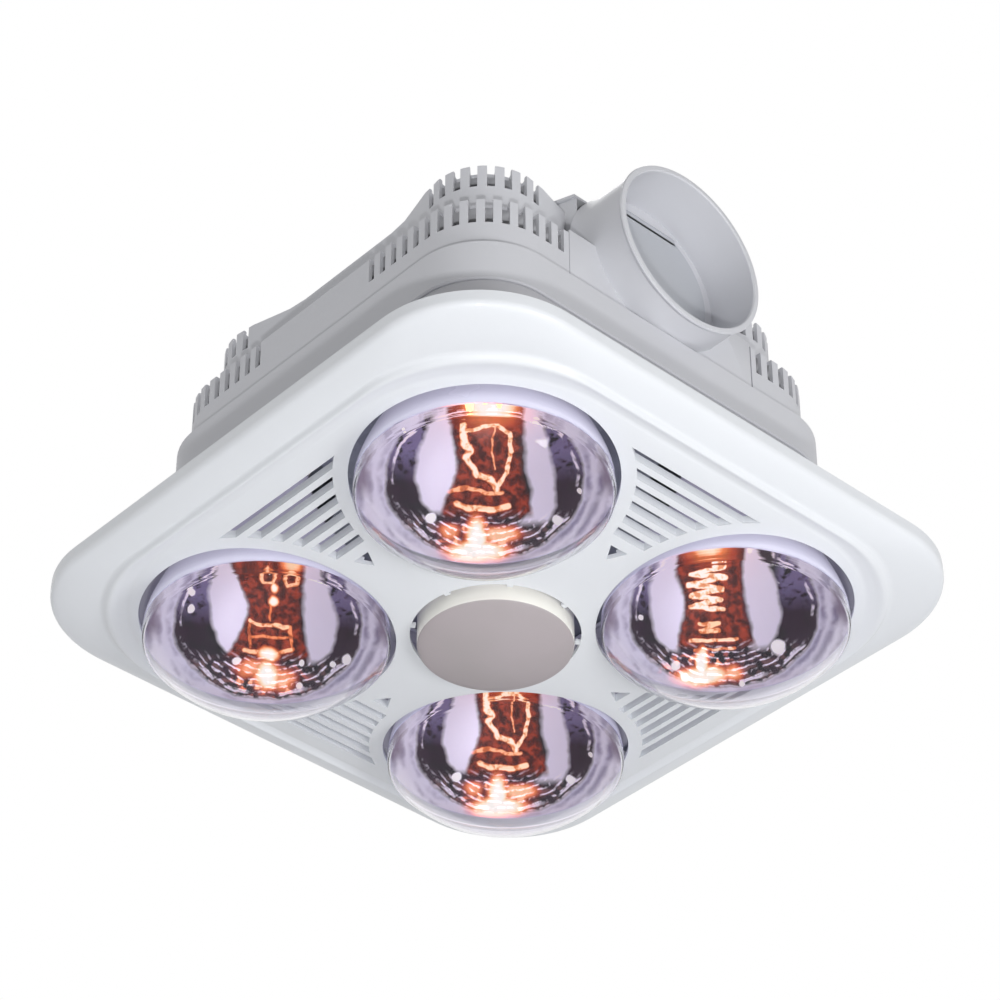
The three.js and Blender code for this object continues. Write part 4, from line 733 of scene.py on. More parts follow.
duct = {
    "radius": 47.5, "wall": 2, "mouth": 146.7, "level": 131.8, "root": 110, "flareRadius": 50, "segments": 96,
    "panelHalf": 64, "panelBottom": 84.8, "panelTop": 120.5, "panelBack": 122.3, "panelFront": 124.5,
    "cutGap": 0.5, "cutStart": 97.3, "cutReach": 128.5, "cutBack": 110.5, "cutLow": 80.8, "cutHigh": 152.5,
    "underLow": (-68, -130.3, -31.2), "underHigh": (68, -106, 84.8), "panelEdge": 0.6, "boreGap": 1,
    "boreEnd": 150,
    # radius, and reach from the root, from the mouth and from the seat's face
    "flare": [(50, 0), (48.9, 3.2), (48.1, 6.6), (47.7, 10.2), (47.5, 15.5)],
    "lip": [(47.5, -3.2), (48.2, -2.4), (48.8, -1.7), (49, -1), (48.6, -0.2), (48, 0), (46.1, 0),
            (45.5, -0.8)],
    "seat": [(38, 0), (48.2, 0), (48, 1.5), (38.3, 1.5), (38, 1.2)], "seatBehindFlap": 1.9,
}


def ductLathe(name, profile, material):
    return makePiece(name, *latheAlongDuct(profile, duct["segments"], duct["level"]), [material])


def boxPiece(name, low, high, material):
    return makePiece(name, *boxData(low, high), [material])


def flareCutter():
    r = duct["flareRadius"] + duct["cutGap"]
    start, reach = duct["cutStart"], duct["cutReach"]
    return ductLathe("flareCut", [(0, start), (r, start), (r, reach), (0, reach)], housingGrey)


def buildHousing():
    h, d = housing, duct
    w = h["wall"]
    b, lo, up = h["base"], h["lower"], h["upper"]
    inner, ri = b["half"] - w, b["radius"] - w
    shelf, rs = lo["half"] - b["flange"], lo["radius"] - b["flange"]
    base = squareShell("housingBase", eased([
        (b["half"], b["radius"], 0, b["bottom"]), (b["half"], b["radius"], 0, b["top"]),
        (shelf, rs, 0, b["top"]), (shelf, rs, 0, b["top"] - w), (inner, ri, 0, b["top"] - w),
        (inner, ri, 0, b["bottom"] + w), (inner - b["flange"], ri - b["flange"], 0, b["bottom"] + w),
        (inner - b["flange"], ri - b["flange"], 0, b["bottom"]),
    ], h["edge"]), housingGrey)
    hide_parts("housing_base")

    inner, ri = lo["half"] - w, lo["radius"] - w
    shelf, rs = up["half"] + 2 * h["gap"], up["radius"] + 2 * h["gap"]
    flange, rf = lo["half"] - lo["flange"], lo["radius"] - lo["flange"]
    lower = squareShell("lowerTier", eased([
        (lo["half"], lo["radius"], 0, lo["bottom"]), (lo["half"], lo["radius"], 0, lo["top"]),
        (shelf, rs, up["pinch"], lo["top"]), (shelf, rs, up["pinch"], lo["top"] - w),
        (inner, ri, 0, lo["top"] - w), (inner, ri, 0, lo["bottom"] + w),
        (flange, rf, 0, lo["bottom"] + w), (flange, rf, 0, lo["bottom"]),
    ], h["edge"]), housingGrey)
    cutVents(lower, lo, d["panelHalf"])
    half = d["panelHalf"] + d["cutGap"]
    panelCut = boxPiece("panelCut", (-half, -d["cutReach"], d["cutLow"]), (half, -d["cutBack"], d["cutHigh"]),
                        housingGrey)
    cutBy(lower, [panelCut, flareCutter()])
    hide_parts("housing_lower_tier")

    inner, ri = up["half"] - w, up["radius"] - w
    lidTop, hole, holeRound = up["top"] - up["lidDrop"], up["lidHole"], up["lidHole"] * up["holeShare"]
    half, radius, pinch, foot, top = (up[key] for key in ("half", "radius", "pinch", "foot", "top"))
    upper = squareShell("upperTier", eased([
        (half, radius, pinch, foot), (half, radius, pinch, top), (inner, ri, pinch, top),
        (inner, ri, pinch, lidTop), (hole, holeRound, 0, lidTop), (hole, holeRound, 0, lidTop - w),
        (inner, ri, pinch, lidTop - w), (inner, ri, pinch, foot),
    ], h["upperEdge"]), housingGrey)
    cutVents(upper, up)
    cutters = []
    start, end, below, above = half * up["archShare"], half + overrun, foot - overrun, top + overrun
    for sx, sy in ((-1, -1), (1, -1), (1, 1), (-1, 1)):
        xs, ys = sorted((sx * start, sx * end)), sorted((sy * start, sy * end))
        cutters.append(boxPiece("archCut", (xs[0], ys[0], below), (xs[1], ys[1], up["arch"]), housingGrey))
    cutters.append(makePiece("scrollCut", *prismData(scrollOutline(scroll), below, above), [housingGrey]))
    cutters.append(flareCutter())
    leg = d["panelHalf"] + d["cutGap"]
    cutters.append(boxPiece("legCut", (-leg, -end, below), (leg, -d["cutStart"], lo["top"]), housingGrey))
    cutBy(upper, cutters)
    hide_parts("housing_upper_tier")
    for piece in (base, lower, upper):
        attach(piece, "housing")


buildHousing()
print("housing made")


# Duct collar and flap, whose pin lies behind the disc
flap = {"radius": 40, "thickness": 1.4, "back": 115.7, "pin": 113.1, "pinLevel": 168.8, "knuckle": 2.6,
        "knuckleHalf": 19.1, "cutHalf": 19.5, "cutLow": 165.8, "cutTop": 171.5, "lugWidth": 3.5,
        "lugLow": 165.2, "lugTop": 172.2, "lugGap": 0.35, "lugEdge": 0.7, "edge": 0.5, "tab": 1.4, "web": 0.7,
        "trimHalf": 45, "trimTop": 180, "segments": 32}


def buildDuct():
    d, f = duct, flap
    outerFlare = spline([(r, d["root"] + y) for r, y in d["flare"]], 5)
    innerFlare = [(r - d["wall"], y) for r, y in outerFlare]
    lip = [(r, d["mouth"] + y) for r, y in d["lip"]]
    collar = ductLathe("ductNeck", outerFlare + lip + innerFlare[::-1], housingGrey)
    cutBy(collar, [boxPiece("underCut", d["underLow"], d["underHigh"], housingGrey)])
    half = d["panelHalf"]
    panel = boxPiece("ductPanel", (-half, -d["panelFront"], d["panelBottom"]),
                     (half, -d["panelBack"], d["panelTop"]), housingGrey)
    bevelled(panel, d["panelEdge"])
    bore, end = d["radius"] - d["wall"] + d["boreGap"], d["boreEnd"]
    cutBy(panel, [ductLathe("boreCut", [(0, 0), (bore, 0), (bore, end), (0, end)], housingGrey)])
    seat = f["back"] - d["seatBehindFlap"]
    seatRing = ductLathe("flapSeat", [(r, seat + y) for r, y in d["seat"]], housingGrey)
    cutBy(seatRing, [boxPiece("knuckleCut", (-f["cutHalf"], -f["back"], f["cutLow"]),
                              (f["cutHalf"], -seat + 2, f["cutTop"]), housingGrey)])
    lugs = []
    for side in (-1, 1):
        xs = sorted((side * f["cutHalf"], side * (f["cutHalf"] + f["lugWidth"])))
        low = (xs[0], -f["back"] + f["lugGap"], f["lugLow"])
        high = (xs[1], -f["pin"] + f["knuckle"], f["lugTop"])
        lugs.append(bevelled(boxPiece("flapLug", low, high, housingGrey), f["lugEdge"]))
    joinTo(collar, panel, seatRing, *lugs)
    collar.name = "ductCollar"
    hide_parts("duct_collar")
    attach(collar, "housing")


def buildFlap():
    f = flap
    y0, y1, r, edge = f["back"], f["back"] + f["thickness"], f["radius"], f["edge"]
    disc = ductLathe("backdraftFlap", [(0, y0), (r - edge, y0), (r, y0 + edge), (r, y1 - edge),
                                       (r - edge, y1), (0, y1)], flapWhite)
    trim, half = f["pinLevel"] - f["knuckle"], f["knuckleHalf"]
    cutBy(disc, [boxPiece("flapTrim", (-f["trimHalf"], -y1 - overrun, trim),
                          (f["trimHalf"], -y0 + overrun, f["trimTop"]), flapWhite)])
    barrel = tubeData([(x, -f["pin"], f["pinLevel"]) for x in (-half, 0, half)], f["knuckle"],
                      f["segments"])
    tab = boxData((-half, -y1, trim - f["tab"]), (half, -y0, f["pinLevel"]))
    web = boxData((-half, -y0 - f["web"], trim), (half, -f["pin"], f["pinLevel"]))
    points, faces, _ = together(barrel, tab, web)
    joinTo(disc, makePiece("flapHinge", points, faces, [flapWhite]))
    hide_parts("backdraft_flap")
    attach(disc, "flap")


buildDuct()
buildFlap()
print("duct and flap made")


# Mounting frame
mountFrame = {
    "flangeHalf": 163, "flangeThickness": 1.6, "openingHalf": 148, "radius": 48, "sheet": 1.5,
    "straight": 31, "shoulderTop": 52, "top": 60, "neckHalf": 128.5, "neckRadius": 40, "lip": 8,
    "screwX": 155.5, "screwY": 90, "screwHole": 2.4,
}


def buildMountFrame():
    m = mountFrame
    s, rf = m["sheet"], m["radius"] + m["flangeHalf"] - m["openingHalf"]
    nh, nr, oh, r, lip = m["neckHalf"], m["neckRadius"], m["openingHalf"], m["radius"], m["lip"]
    straight = m["straight"]
    outer = [(m["flangeHalf"], rf, 0, -m["flangeThickness"]), (m["flangeHalf"], rf, 0, 0), (oh, r, 0, 0),
             (oh, r, 0, straight - 4)]
    outer += spline([(oh, r, 0, straight - 4), (oh - 1.2, r, 0, straight + 1), (oh - 9, r - 1, 0, 40),
                     (nh + 3, nr + 1, 0, m["shoulderTop"] - 3), (nh, nr, 0, m["shoulderTop"] + 1)], 4)[1:]
    outer += [(nh, nr, 0, m["top"]), (nh - lip, nr - lip, 0, m["top"])]
    inner = [(nh - lip, nr - lip, 0, m["top"] - s), (nh - s, nr - s, 0, m["top"] - s)]
    inner += [(h - s, q - s, 0, z - s * 0.4) for h, q, _, z in outer[-3:3:-1]]
    inner += [(oh - s, r - s, 0, -m["flangeThickness"])]
    piece = squareShell("mountingFrame", outer + inner, frameGrey)
    holes = []
    for x in (-m["screwX"], m["screwX"]):
        for y in (-m["screwY"], m["screwY"]):
            hole = latheData([(0, -6), (m["screwHole"], -6), (m["screwHole"], 4), (0, 4)], 24, (x, y))
            holes.append(makePiece("screwHole", *hole, [frameGrey]))
    cutBy(piece, holes)
    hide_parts("mounting_frame")
    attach(piece, "housing")


buildMountFrame()
print("mounting frame made")


# Heat lamps
lamp = {
    "segments": 96, "radius": 62.5, "faceRadius": 80, "apex": -62.5, "widest": -30, "wall": 1.2,
    "mirrorFrom": -27,
    "sides": [(62.5, -30), (62.2, -24), (60.6, -17), (57.6, -9), (53.6, -0.5), (48.6, 8), (42.6, 17),
              (36.4, 26), (31, 34.5), (26.6, 43), (23, 52), (20, 62), (17.8, 72), (16.5, 82)],
    # how the painted reflection lies on the bowl: its level falls along a slant, from its top over its span
    "slant": 38, "pictureTop": 28.3, "pictureSpan": 93.1,
}

# The reflection painted on each mirror. The edges of the column and of the painted bright streaks are rows of
# down (0 to 1) and across (-1 to 1). All else is across and down: strokes of painted glow with their half
# width and strength, spots of painted glow with their radii and strength, and painted glints with their size.
# The fourth spot also places the painted embers.
paintedReflectionLooks = {
    "ring": {
        "column": ([(0.03, -0.33), (0.1, -0.31), (0.38, -0.21), (0.62, -0.32), (0.68, -0.34)],
                   [(0.03, 0.26), (0.1, 0.29), (0.38, 0.28), (0.62, 0.35), (0.68, 0.38)]),
        "streaks": [([(0.07, -0.36), (0.2, -0.44), (0.4, -0.54), (0.56, -0.52), (0.66, -0.42)],
                     [(0.07, -0.22), (0.2, -0.27), (0.4, -0.22), (0.56, -0.28), (0.66, -0.33)]),
                    ([(0.08, 0.32), (0.38, 0.31), (0.62, 0.36), (0.72, 0.26)],
                     [(0.08, 0.4), (0.3, 0.5), (0.6, 0.55), (0.72, 0.5)])],
        "strokes": [([(-0.17, 0.2), (-0.16, 0.3), (-0.12, 0.34), (-0.15, 0.38), (-0.06, 0.46), (0.02, 0.48),
                      (0.1, 0.53)],
                     0.022, 0.95),
                    ([(-0.16, 0.24), (-0.03, 0.2), (0.1, 0.2), (0.2, 0.25), (0.21, 0.34), (0.17, 0.45),
                      (0.1, 0.52)],
                     0.014, 0.9),
                    ([(0.08, 0.2), (0.05, 0.34), (0.08, 0.44)], 0.006, 0.7),
                    ([(-0.28, 0.55), (-0.15, 0.53), (0.0, 0.56), (0.14, 0.55)], 0.014, 0.7),
                    ([(-0.22, 0.615), (-0.12, 0.64), (0.05, 0.645), (0.17, 0.63)], 0.02, 0.85)],
        "spots": [((0.05, 0.08), (0.24, 0.085), 1.0), ((0.05, 0.1), (0.34, 0.16), 0.45),
                  ((-0.07, 0.79), (0.09, 0.12), 1.0), ((-0.06, 0.865), (0.27, 0.065), 1.0),
                  ((-0.28, 0.76), (0.1, 0.05), 0.6), ((0.12, 0.78), (0.18, 0.05), 0.7)],
        "sparkles": [((0.4, 0.17), 0.04), ((0.57, 0.7), 0.045), ((-0.64, 0.22), 0.02),
                     ((0.74, 0.55), 0.025), ((-0.42, 0.69), 0.05)],
    },
    "coil": {
        "column": ([(0.06, -0.3), (0.14, -0.32), (0.24, -0.37), (0.42, -0.31), (0.62, -0.37), (0.68, -0.4)],
                   [(0.06, 0.2), (0.14, 0.18), (0.33, 0.16), (0.52, 0.18), (0.68, 0.25)]),
        "streaks": [([(0.1, -0.46), (0.25, -0.56), (0.45, -0.6), (0.62, -0.55), (0.7, -0.42)],
                     [(0.1, -0.3), (0.24, -0.38), (0.42, -0.32), (0.6, -0.37), (0.7, -0.38)]),
                    ([(0.12, 0.2), (0.4, 0.18), (0.6, 0.22), (0.7, 0.2)],
                     [(0.12, 0.28), (0.3, 0.42), (0.55, 0.46), (0.7, 0.36)])],
        "strokes": [([(-0.06, 0.23), (0.02, 0.24), (-0.26, 0.28), (0.03, 0.3), (-0.28, 0.34), (0.0, 0.36),
                      (-0.26, 0.4), (-0.02, 0.42), (-0.27, 0.46), (0.0, 0.475)],
                     0.017, 1.0),
                    ([(-0.2, 0.55), (-0.05, 0.56), (-0.2, 0.59), (-0.04, 0.6)], 0.014, 0.8),
                    ([(-0.28, 0.64), (-0.05, 0.65), (0.1, 0.64)], 0.012, 0.85),
                    ([(-0.26, 0.69), (-0.05, 0.7), (0.08, 0.69)], 0.01, 0.8)],
        "spots": [((-0.1, 0.1), (0.2, 0.075), 1.0), ((-0.1, 0.12), (0.26, 0.13), 0.45),
                  ((-0.2, 0.77), (0.06, 0.1), 1.0), ((-0.2, 0.84), (0.24, 0.06), 0.95),
                  ((0.05, 0.83), (0.1, 0.05), 0.65)],
        "sparkles": [((0.44, 0.7), 0.07), ((-0.42, 0.78), 0.04), ((-0.34, 0.84), 0.04),
                     ((0.12, 0.89), 0.03), ((0.25, 0.14), 0.04), ((-0.68, 0.5), 0.03)],
    },
    "loops": {
        "column": ([(0.05, -0.36), (0.1, -0.34), (0.28, -0.25), (0.38, -0.18), (0.6, -0.27), (0.68, -0.36)],
                   [(0.05, 0.27), (0.13, 0.29), (0.23, 0.27), (0.52, 0.27), (0.68, 0.36)]),
        "streaks": [([(0.1, -0.37), (0.28, -0.5), (0.45, -0.48), (0.6, -0.4), (0.66, -0.32)],
                     [(0.1, -0.36), (0.28, -0.25), (0.38, -0.18), (0.6, -0.27), (0.66, -0.3)]),
                    ([(0.14, 0.28), (0.38, 0.28), (0.6, 0.32), (0.7, 0.34)],
                     [(0.14, 0.38), (0.3, 0.5), (0.55, 0.56), (0.7, 0.42)])],
        "strokes": [([(-0.09, 0.21), (-0.03, 0.17), (0.04, 0.2), (0.02, 0.26), (-0.06, 0.26), (-0.09, 0.21)],
                     0.013, 0.75),
                    ([(0.11, 0.24), (0.16, 0.19), (0.23, 0.21), (0.22, 0.27), (0.14, 0.28), (0.11, 0.24)],
                     0.013, 0.75),
                    ([(0.0, 0.36), (0.01, 0.47)], 0.008, 0.55),
                    ([(-0.16, 0.48), (-0.06, 0.5), (0.16, 0.5)], 0.013, 0.8),
                    ([(-0.16, 0.5), (-0.15, 0.62)], 0.01, 0.6), ([(0.18, 0.5), (0.19, 0.64)], 0.01, 0.6),
                    ([(-0.14, 0.57), (0.16, 0.56)], 0.01, 0.6),
                    ([(-0.2, 0.64), (0.0, 0.66), (0.2, 0.63)], 0.014, 0.75)],
        "spots": [((0.18, 0.14), (0.12, 0.055), 0.75), ((0.035, 0.29), (0.035, 0.028), 1.0),
                  ((0.03, 0.36), (0.04, 0.032), 1.0), ((0.01, 0.66), (0.09, 0.045), 1.0),
                  ((0.0, 0.78), (0.12, 0.09), 1.0), ((-0.12, 0.74), (0.16, 0.06), 0.6),
                  ((0.12, 0.8), (0.14, 0.07), 0.6)],
        "sparkles": [((0.65, 0.66), 0.05), ((-0.63, 0.33), 0.04), ((-0.64, 0.42), 0.035),
                     ((0.55, 0.7), 0.03), ((-0.26, 0.7), 0.04), ((0.28, 0.7), 0.03), ((0.28, 0.83), 0.03)],
    },
}


def lampGlassMaterial():
    values = {"Base Color": srgb(247, 245, 251), "Roughness": 0.02, "IOR": 1.3, "Transmission Weight": 1}
    m, t, inputs = bareMaterial("lampFaceGlass", **values)
    bump(t, inputs, noise(t, objectPlace(t), 45, 1), 0.08, 0.3)
    return m


def edgeCurve(tree, down, rows):  # an edge that moves across as it runs down
    n = node(tree, "ShaderNodeFloatCurve", {"Value": down})
    points = n.mapping.curves[0].points
    while len(points) < len(rows):
        points.new(0.5, 0.5)
    for point, (place, across) in zip(points, rows):
        point.location = (place, (across + 1) / 2)
    n.mapping.update()
    return math3(tree, "MULTIPLY_ADD", n.outputs[0], 2, -1)


def product(tree, first, *others):
    for other in others:
        first = math3(tree, "MULTIPLY", first, other)
    return first


def between(tree, across, down, edges, soft=0.02):  # mask of what lies between two edges
    left, right = edges
    low, high = left[0][0], left[-1][0]
    return product(
        tree,
        remap(tree, math3(tree, "SUBTRACT", across, edgeCurve(tree, down, left)), -soft, soft, 0, 1),
        remap(tree, math3(tree, "SUBTRACT", edgeCurve(tree, down, right), across), -soft, soft, 0, 1),
        remap(tree, down, low - soft, low + soft, 0, 1),
        remap(tree, down, high - soft, high + soft, 1, 0),
    )


def distance(tree, across, down, centre, radii):  # from a centre, in units of the radii
    a = math3(tree, "DIVIDE", math3(tree, "SUBTRACT", across, centre[0]), radii[0])
    b = math3(tree, "DIVIDE", math3(tree, "SUBTRACT", down, centre[1]), radii[1])
    return math3(tree, "SQRT", math3(tree, "ADD", product(tree, a, a), product(tree, b, b)))


def roundSpot(tree, across, down, centre, radii, core, edge):
    return remap(tree, distance(tree, across, down, centre, radii), core, edge, 1, 0, True)


def strokeGap(tree, spot, points):  # distance to a run of straight strokes
    nearest = None
    stretch = lamp["pictureSpan"] / lamp["radius"]
    run = [Vector((x, y * stretch, 0)) for x, y in points]

    def vectorMath(operation, inputs):
        return node(tree, "ShaderNodeVectorMath", inputs, operation=operation).outputs
    for a, b in zip(run, run[1:]):
        way = b - a
        offset = vectorMath("SUBTRACT", {0: spot, 1: a})[0]
        share = vectorMath("DOT_PRODUCT", {0: offset, 1: way / way.length_squared})["Value"]
        foot = vectorMath("SCALE", {0: way, "Scale": math3(tree, "ADD", share, 0, clamp=True)})[0]
        gap = vectorMath("DISTANCE", {0: offset, 1: foot})["Value"]
        nearest = gap if nearest is None else math3(tree, "MINIMUM", nearest, gap)
    return nearest


def reflectedGlowColors(tree, reflectedGlow):  # from dull red over orange to white
    ramp = node(tree, "ShaderNodeValToRGB", {"Fac": reflectedGlow})
    stops = ramp.color_ramp.elements
    colors = ((0, (0, 0, 0)), (0.14, (70, 16, 10)), (0.3, (150, 52, 26)), (0.55, (236, 128, 66)),
              (0.8, (255, 220, 178)), (1, (255, 250, 240)))
    while len(stops) < len(colors):
        stops.new(0.5)
    for stop, (place, color) in zip(stops, colors):
        stop.position = place
        stop.color = srgb(*color)
    return ramp.outputs["Color"]


paintedReflectionTones = {
    "plum": (50, 36, 50), "olive": (32, 33, 36), "violet": (120, 112, 150), "brown": (128, 92, 92),
    "streak": (222, 219, 233), "columnDark": (44, 20, 18), "columnWarm": (104, 40, 26),
    "pale": (216, 217, 232), "ring": (118, 112, 150), "corner": (96, 78, 108), "bottom": (224, 215, 229),
    "ripple": (236, 232, 244), "sparkle": (255, 255, 255), "unlit": (0, 0, 0),
}


paintedReflectionPicture = {
    "centre": (0, 0.49), "radii": (0.78, 0.425), "ripple": 7, "shake": 0.07, "patches": 4.2, "grain": 16,
    "rings": 62, "waves": 85, "rim": 0.93, "corner": 0.8, "paintedEmbers": (0.42, 0.12), "paintedEmberDown": 0.8,
    "paintedToneGlow": 0.3, "detail": 3,
}

# Ranges of place, reach or noise over which a feature comes in: from, to, and its strength at each.
paintedReflectionRanges = {
    "mottle": (0.42, 0.58, 0, 1), "shoulderDown": (0.5, 0.34, 0, 1), "shoulderAside": (0.42, 0.5, 0, 1),
    "shoulderGrain": (0.38, 0.5, 0, 0.9), "brownDown": (0.66, 0.74, 0, 1), "brownGrain": (0.45, 0.62, 0, 0.7),
    "columnGrain": (0.4, 0.6, 0, 1), "margin": (0.97, 1.01, 0, 1), "ringMottle": (0.42, 0.6, 0, 0.8),
    "cornerAside": (0.86, 0.92, 0, 1), "cornerDown": (0.6, 0.5, 0, 1), "bottomDown": (0.8, 0.95, 0, 0.7),
    "rimLine": (0.008, 0.02, 1, 0), "rimMottle": (0.46, 0.52, 0, 1), "waveCrest": (0.3, 0.75, 0, 1),
    "waveDown": (0.64, 0.72, 0, 1), "waveReach": (1.0, 0.96, 0, 1), "waveGrain": (0.42, 0.56, 0, 1),
    "columnGlow": (0.35, 0.72, 0.06, 0.3), "broken": (0.38, 0.52, 0.6, 1), "paintedEmberGrain": (0.5, 0.62, 0, 0.7),
}


def paintedReflectionGroup(name, look):  # the reflection painted on the silvered bowl: its tones, and the painted glow of the coil's reflection
    g, gin, gout = newGroup(name, [("Place", "NodeSocketVector", (0, 0, 0))],
                            [("Tone", "NodeSocketColor"), ("PaintedGlow", "NodeSocketColor"),
                             ("Metal", "NodeSocketFloat"), ("Height", "NodeSocketFloat")])
    tones = {key: srgb(*color) for key, color in paintedReflectionTones.items()}
    p = paintedReflectionPicture

    def ramp(value, feature):
        return remap(g, value, *paintedReflectionRanges[feature])

    def mix(factor, a, b):
        return mixColor(g, factor, tones.get(a, a), tones.get(b, b))

    def wave(value, count):
        return math3(g, "SINE", math3(g, "MULTIPLY", value, count))

    def spotAt(centre, radii, core, edge):
        return roundSpot(g, across, down, centre, radii, core, edge)
    shake = (p["shake"], p["shake"], 0)
    back = (-p["shake"] / 2, -p["shake"] / 2, 0)
    rippling = {"Vector": gin["Place"], "Scale": p["ripple"], "Detail": p["detail"]}
    ripple = node(g, "ShaderNodeTexNoise", rippling).outputs["Color"]
    centred = node(g, "ShaderNodeVectorMath", {0: gin["Place"], 1: back}, operation="ADD").outputs[0]
    shaken = {0: ripple, 1: shake, 2: centred}
    spot = node(g, "ShaderNodeVectorMath", shaken, operation="MULTIPLY_ADD").outputs[0]
    parts = node(g, "ShaderNodeSeparateXYZ", {0: spot}).outputs
    across = parts[0]
    aside = math3(g, "ABSOLUTE", across)
    down = math3(g, "MULTIPLY", parts[1], lamp["radius"] / lamp["pictureSpan"])
    patchy = noise(g, spot, p["patches"], p["detail"])
    fine = noise(g, spot, p["grain"], p["detail"])
    reach = distance(g, across, down, p["centre"], p["radii"])

    tone = mix(ramp(patchy, "mottle"), "plum", "olive")
    shoulder = product(g, ramp(down, "shoulderDown"), ramp(aside, "shoulderAside"),
                       ramp(fine, "shoulderGrain"))
    tone = mix(shoulder, tone, "violet")
    tone = mix(product(g, ramp(down, "brownDown"), ramp(fine, "brownGrain")), tone, "brown")
    # painted highlights: the bright streaks of reflection
    for edges in look["streaks"]:
        tone = mix(between(g, across, down, edges), tone, "streak")
    column = between(g, across, down, look["column"])
    tone = mix(column, tone, mix(ramp(fine, "columnGrain"), "columnDark", "columnWarm"))
    margin = ramp(reach, "margin")
    rings = math3(g, "MULTIPLY_ADD", wave(reach, p["rings"]), 0.5, 0.5)
    pale = mix(product(g, rings, ramp(patchy, "ringMottle")), "pale", "ring")
    pale = mix(product(g, ramp(aside, "cornerAside"), ramp(down, "cornerDown"), p["corner"]), pale, "corner")
    pale = mix(ramp(down, "bottomDown"), pale, "bottom")
    tone = mix(margin, tone, pale)
    offRim = math3(g, "ABSOLUTE", math3(g, "SUBTRACT", reach, p["rim"]))
    lines = product(g, ramp(offRim, "rimLine"), ramp(patchy, "rimMottle"))
    waves = product(g, ramp(wave(reach, p["waves"]), "waveCrest"), ramp(down, "waveDown"),
                    ramp(reach, "waveReach"), ramp(fine, "waveGrain"))
    tone = mix(math3(g, "MAXIMUM", lines, waves), tone, "ripple")
    # painted glints
    for centre, size in look["sparkles"]:
        tone = mix(spotAt(centre, (size, size * 0.75), 0.6, 1), tone, "sparkle")

    # painted glow: the coil's reflection in the column, strokes, spots and embers, plus a faint glow of every
    # tone, all given out as emission
    reflectedGlow = product(g, column, ramp(fine, "columnGlow"))
    broken = ramp(fine, "broken")
    glows = []
    for points, width, strength in look["strokes"]:
        gap = strokeGap(g, spot, points)
        glows.append(product(g, remap(g, gap, width * 0.8, width * 1.9, strength, 0, True), broken))
    for centre, radii, strength in look["spots"]:
        glows.append(product(g, spotAt(centre, radii, 0.35, 1.5), strength))
    paintedEmberPlace = (look["spots"][3][0][0], p["paintedEmberDown"])
    glows.append(product(g, spotAt(paintedEmberPlace, p["paintedEmbers"], 0.5, 1), ramp(fine, "paintedEmberGrain")))
    for glow in glows:
        reflectedGlow = math3(g, "MAXIMUM", reflectedGlow, glow)
    paintedToneGlow = mix(p["paintedToneGlow"], "unlit", tone)
    feed(g, gout["Tone"], tone)
    feed(g, gout["PaintedGlow"], mixColor(g, 1, reflectedGlowColors(g, reflectedGlow), paintedToneGlow, "ADD"))
    feed(g, gout["Metal"], math3(g, "MULTIPLY_ADD", margin, -0.3, 0.4))
    feed(g, gout["Height"], patchy)
    return g


# the mirror's base colour is a painted reflection, and its emission a painted glow
def paintedMirrorMaterial(name, look):
    m, t, inputs = bareMaterial(name, **{"Roughness": 0.5, "Emission Strength": 1})
    picture = node(t, "ShaderNodeGroup", node_tree=paintedReflectionGroup(name + "Picture", look))
    place = node(t, "ShaderNodeAttribute", attribute_name="mirrorPlace").outputs["Vector"]
    feed(t, picture.inputs["Place"], place)
    for label, output in (("Base Color", "Tone"), ("Emission Color", "PaintedGlow"), ("Metallic", "Metal")):
        feed(t, inputs[label], picture.outputs[output])
    bump(t, inputs, picture.outputs["Height"], 0.15, 1)
    return m


# emitting material: on the coil it is the lamp's own light, on the glass stem a painted glow of the coil's
# light
def emissiveMaterial(name, color, strength):
    values = {"Base Color": color, "Roughness": 0.4, "Emission Strength": strength}
    m, t, inputs = bareMaterial(name, **values)
    tone = mixColor(t, noise(t, objectPlace(t), 140, 1), srgb(255, 170, 90), color)
    feed(t, inputs["Emission Color"], tone)
    return m


faceGlass = lampGlassMaterial()
# outside of the silvered back: pale lilac with a painted glow, so that it looks lit even deep in the lamp
# hole
silveredBackPaintedGlow = plastic("silveredBackPaintedGlow", srgb(206, 205, 222), rough=0.25, mottle=0.12, grain=3.0, relief=0.1,
                       coat=0.5)
backGlowShader = silveredBackPaintedGlow.node_tree.nodes["Principled BSDF"]
backGlowShader.inputs["Emission Color"].default_value = srgb(211, 206, 231)
backGlowShader.inputs["Emission Strength"].default_value = 0.3
paintedMirrors = {key: paintedMirrorMaterial(key + "Mirror", look) for key, look in paintedReflectionLooks.items()}
# the coil glows as the lamp; the stem's amber glow is painted light from the coil
hotCoil = emissiveMaterial("hotCoil", srgb(255, 214, 160), 2.2)
stemPaintedGlow = emissiveMaterial("stemPaintedGlow", srgb(255, 150, 70), 1.2)


def bulbProfiles(p):
    steps = 14
    edge = p["radius"] - 2.4
    middle = p["faceRadius"] + p["apex"]
    face = []
    for i in range(steps + 1):
        r = edge * i / steps
        face.append((r, middle - math.sqrt(p["faceRadius"] ** 2 - r * r)))
    rim = spline([face[-1], (p["radius"] - 0.6, p["widest"] - 3.6), p["sides"][0]], 3)[1:-1]
    outer = face + rim + spline(p["sides"], 3)
    inner = []
    for i, (r, z) in enumerate(outer):
        before, after = outer[max(0, i - 1)], outer[min(len(outer) - 1, i + 1)]
        run = Vector((after[0] - before[0], after[1] - before[1])).normalized()
        inner.append((max(0, r - run.y * p["wall"]), z + run.x * p["wall"]))
    inner[0] = (0, outer[0][1] + p["wall"])
    inner[-1] = (outer[-1][0] - p["wall"], outer[-1][1])
    return outer, inner


